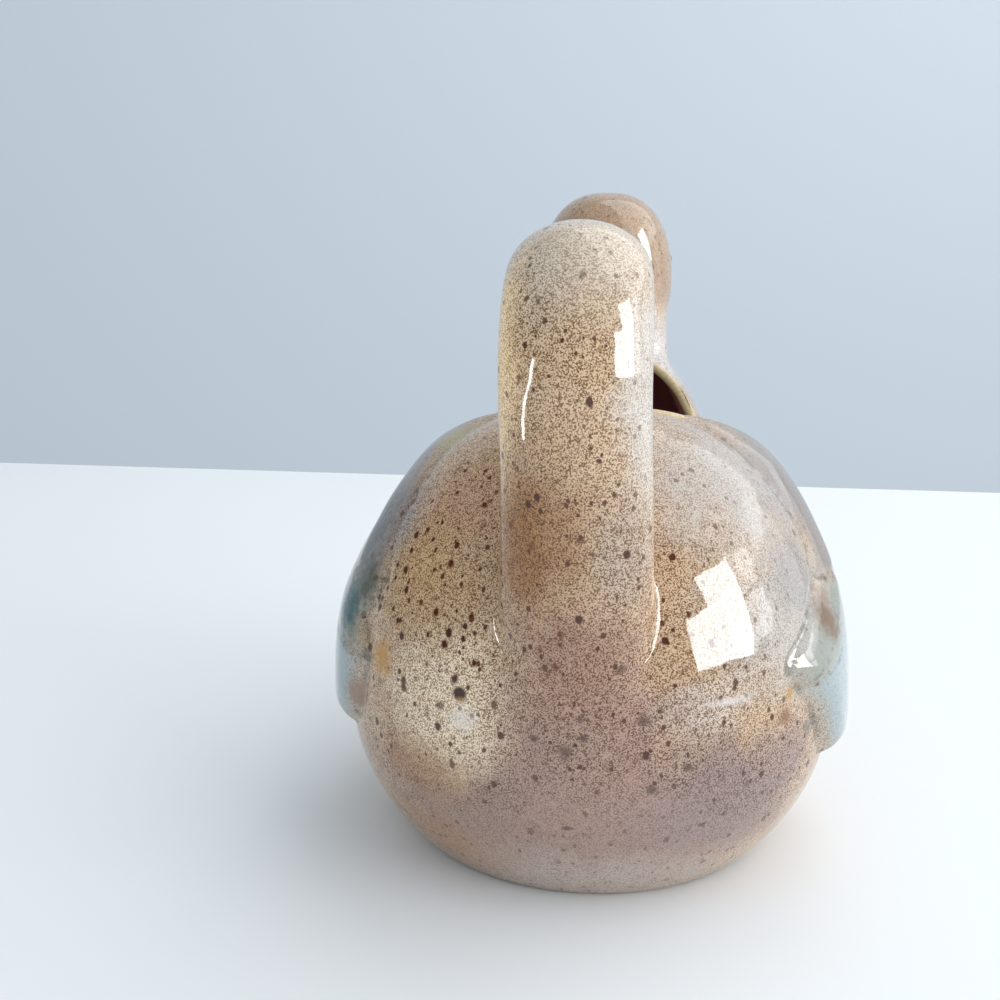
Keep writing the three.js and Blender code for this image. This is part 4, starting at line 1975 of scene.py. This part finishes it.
PITCHER = Pitcher(
    body=Body(BODY_EGG, (RIGHT_WING, LEFT_WING)),
    neck=Neck((
        NeckRing(46.0, 63.0, 10.0, 32.0),
        NeckRing(70.0, 71.0, 7.0, 31.5),
        NeckRing(88.0, 71.0, 6.0, 26.8),
        NeckRing(98.0, 69.3, 8.0, 21.6),
        NeckRing(103.0, 69.0, 22.0, 17.6),
        NeckRing(107.0, 69.0, 34.6, 17.0),
        NeckRing(116.0, 70.0, 37.0, 16.6),
    )),
    head=HEAD_EGG,
    head_wall=4.0,
    bill=Bill(
        (0.0, 75.0, 121.0), 3.0, 2.0,
        (
            BillSection(0.0, 9.5, 8.0),
            BillSection(11.0, 8.8, 6.4),
            BillSection(22.0, 11.0, 5.0),
            BillSection(29.0, 10.8, 4.6),
            BillSection(32.0, 9.0, 4.2),
        ),
    ),
    mouth=Mouth(16.5, 24.8, 18.6, 56.7, 116.0),
    rim_radius=1.1,
    handle=Handle(
        root=(-34.7, 49.0),
        root_height=56.0,
        spine=-48.2,
        arch_base=107.6,
        apex=(-37.2, 127.6),
        landing=(-12.3, 91.6),
        sections=(
            HandleSection(0.0, 31.5, 21.0),
            HandleSection(0.33, 28.2, 18.4),
            HandleSection(0.6, 27.4, 20.8),
            HandleSection(0.72, 25.0, 17.0),
            HandleSection(1.0, 20.0, 12.0),
        ),
    ),
    tail_root=REAR_PAD,
    lug=BACK_PAD,
    blends=(
        Blend((0.0, -44.0, 73.0), (24.0, 16.0, 16.0), 12),
        Blend((0.0, -48.0, 40.0), (36.0, 20.0, 25.0), 120),
        Blend((0.0, -12.3, 98.0), (24.0, 16.0, 14.0), 40),
        Blend((0.0, 62.0, 76.0), (50.0, 38.0, 36.0), 300),
        Blend((0.0, 50.0, 112.0), (30.0, 30.0, 12.0), 80),
    ),
    eye_radius=3.0,
    eye_place=(14.6, 66.0, 129.0),
)

PANED = tuple(name for name in MEMBER_SLOTS if name != "tail_root")
PANES = tuple(
    Lamp(name, azimuth, elevation, 1.0, size, radiance, glow=Glow.GLOSS, receivers=PANED)
    for name, azimuth, elevation, size, radiance in (
        ("pane_low_left", 60.5, 11.5, (0.56, 0.33), 14.0),
        ("pane_low_right", 83.0, 9.0, (0.25, 0.25), 3.5),
        ("pane_top_left", 66.5, 27.0, (0.34, 0.24), 13.0),
        ("pane_top_right", 83.0, 24.0, (0.23, 0.22), 3.5),
    )
)
STUDIO = Studio((
    Lamp("window", 66.0, 18.0, 1.0, (0.62, 0.52), 3.6, glow=Glow.LIGHT),
    Lamp("bright_ceiling", 119.0, 52.0, 1.4, (1.9, 1.5), 1.55),
    Lamp("pale_wall", 104.0, 16.0, 1.5, (1.1, 1.0), 0.8, glow=Glow.GLOSS),
    Lamp("door_gap", -54.8, -5.6, 0.15, (0.008, 0.079), 18.0, glow=Glow.GLOSS,
         aim=(-0.008, -0.0565, 0.107), roll=-38.0, receivers=("tail_handle",)),
    Lamp("far_pane", 93.0, 27.0, 1.0, (0.3, 0.55), 16.0, glow=Glow.GLOSS,
         aim=(0.014, 0.05, 0.13), receivers=("head",)),
    *PANES,
))


def finished(piece: Object, form: Object | None, pitcher: Pitcher, rim: Rim) -> None:
    """Give a piece its attributes, its smooth shading and its real size.

    Args:
        piece: The piece, in millimetres.
        form: The whole form that it was parted from, whose shading it keeps.
        pitcher: The pitcher.
        rim: The coil on the mouth's edge.
    """
    points = points_of(piece)
    egg, neck = pitcher.body.egg, pitcher.neck
    mid = -pitcher.body.wall / 2
    inner = egg.inside(points, mid) | neck.inside(points, mid) | pitcher.head.inside(points, mid)
    inner |= pitcher.mouth.within(points, pitcher.lining_room, rim.line)
    inner &= form is not None
    marks = {"inside": inner.astype(float), **pitcher.body.depths(points)}
    for name, values in marks.items():
        attribute = piece.data.attributes.new(name, "FLOAT", "POINT")
        attribute.data.foreach_set("value", values)
    take(piece)
    bpy.ops.object.shade_smooth()
    if form is not None:
        modify(
            piece, "DATA_TRANSFER", object=form, use_loop_data=True,
            data_types_loops={"CUSTOM_NORMAL"}, loop_mapping="POLYINTERP_NEAREST",
        )
    piece.data.transform(Matrix.Scale(MM, 4))
    piece.data.update()


def main() -> None:
    """Build the pitcher and its studio."""
    logging.basicConfig(level=logging.INFO, format="%(message)s")
    STUDIO.add()
    effects = Effects()
    materials = {slot: glaze.material(slot.value, effects) for slot, glaze in FINISHES.items()}
    members = PITCHER.members()
    form = members.pop("form")
    take(form)
    bpy.ops.object.shade_smooth()
    rim = PITCHER.rim()
    own_shading = {"mouth_rim"}
    for side in Side:
        name = f"{side.name.lower()}_eye"
        members[name] = PITCHER.eye(side, name)
        own_shading.add(name)
    for name, piece in members.items():
        finished(piece, None if name in own_shading else form, PITCHER, rim)
        slot = MEMBER_SLOTS[name]
        piece.data.materials.clear()
        piece.data.materials.append(materials[slot])
        piece.name = f"{name}_glazed"
        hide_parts(name)
        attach(piece, BODY)
        LOG.info("%s: %d faces", piece.name, len(piece.data.polygons))
    discard(form)
    for lamp in STUDIO.lamps:
        lamp.link()


if __name__ == "__main__":
    main()
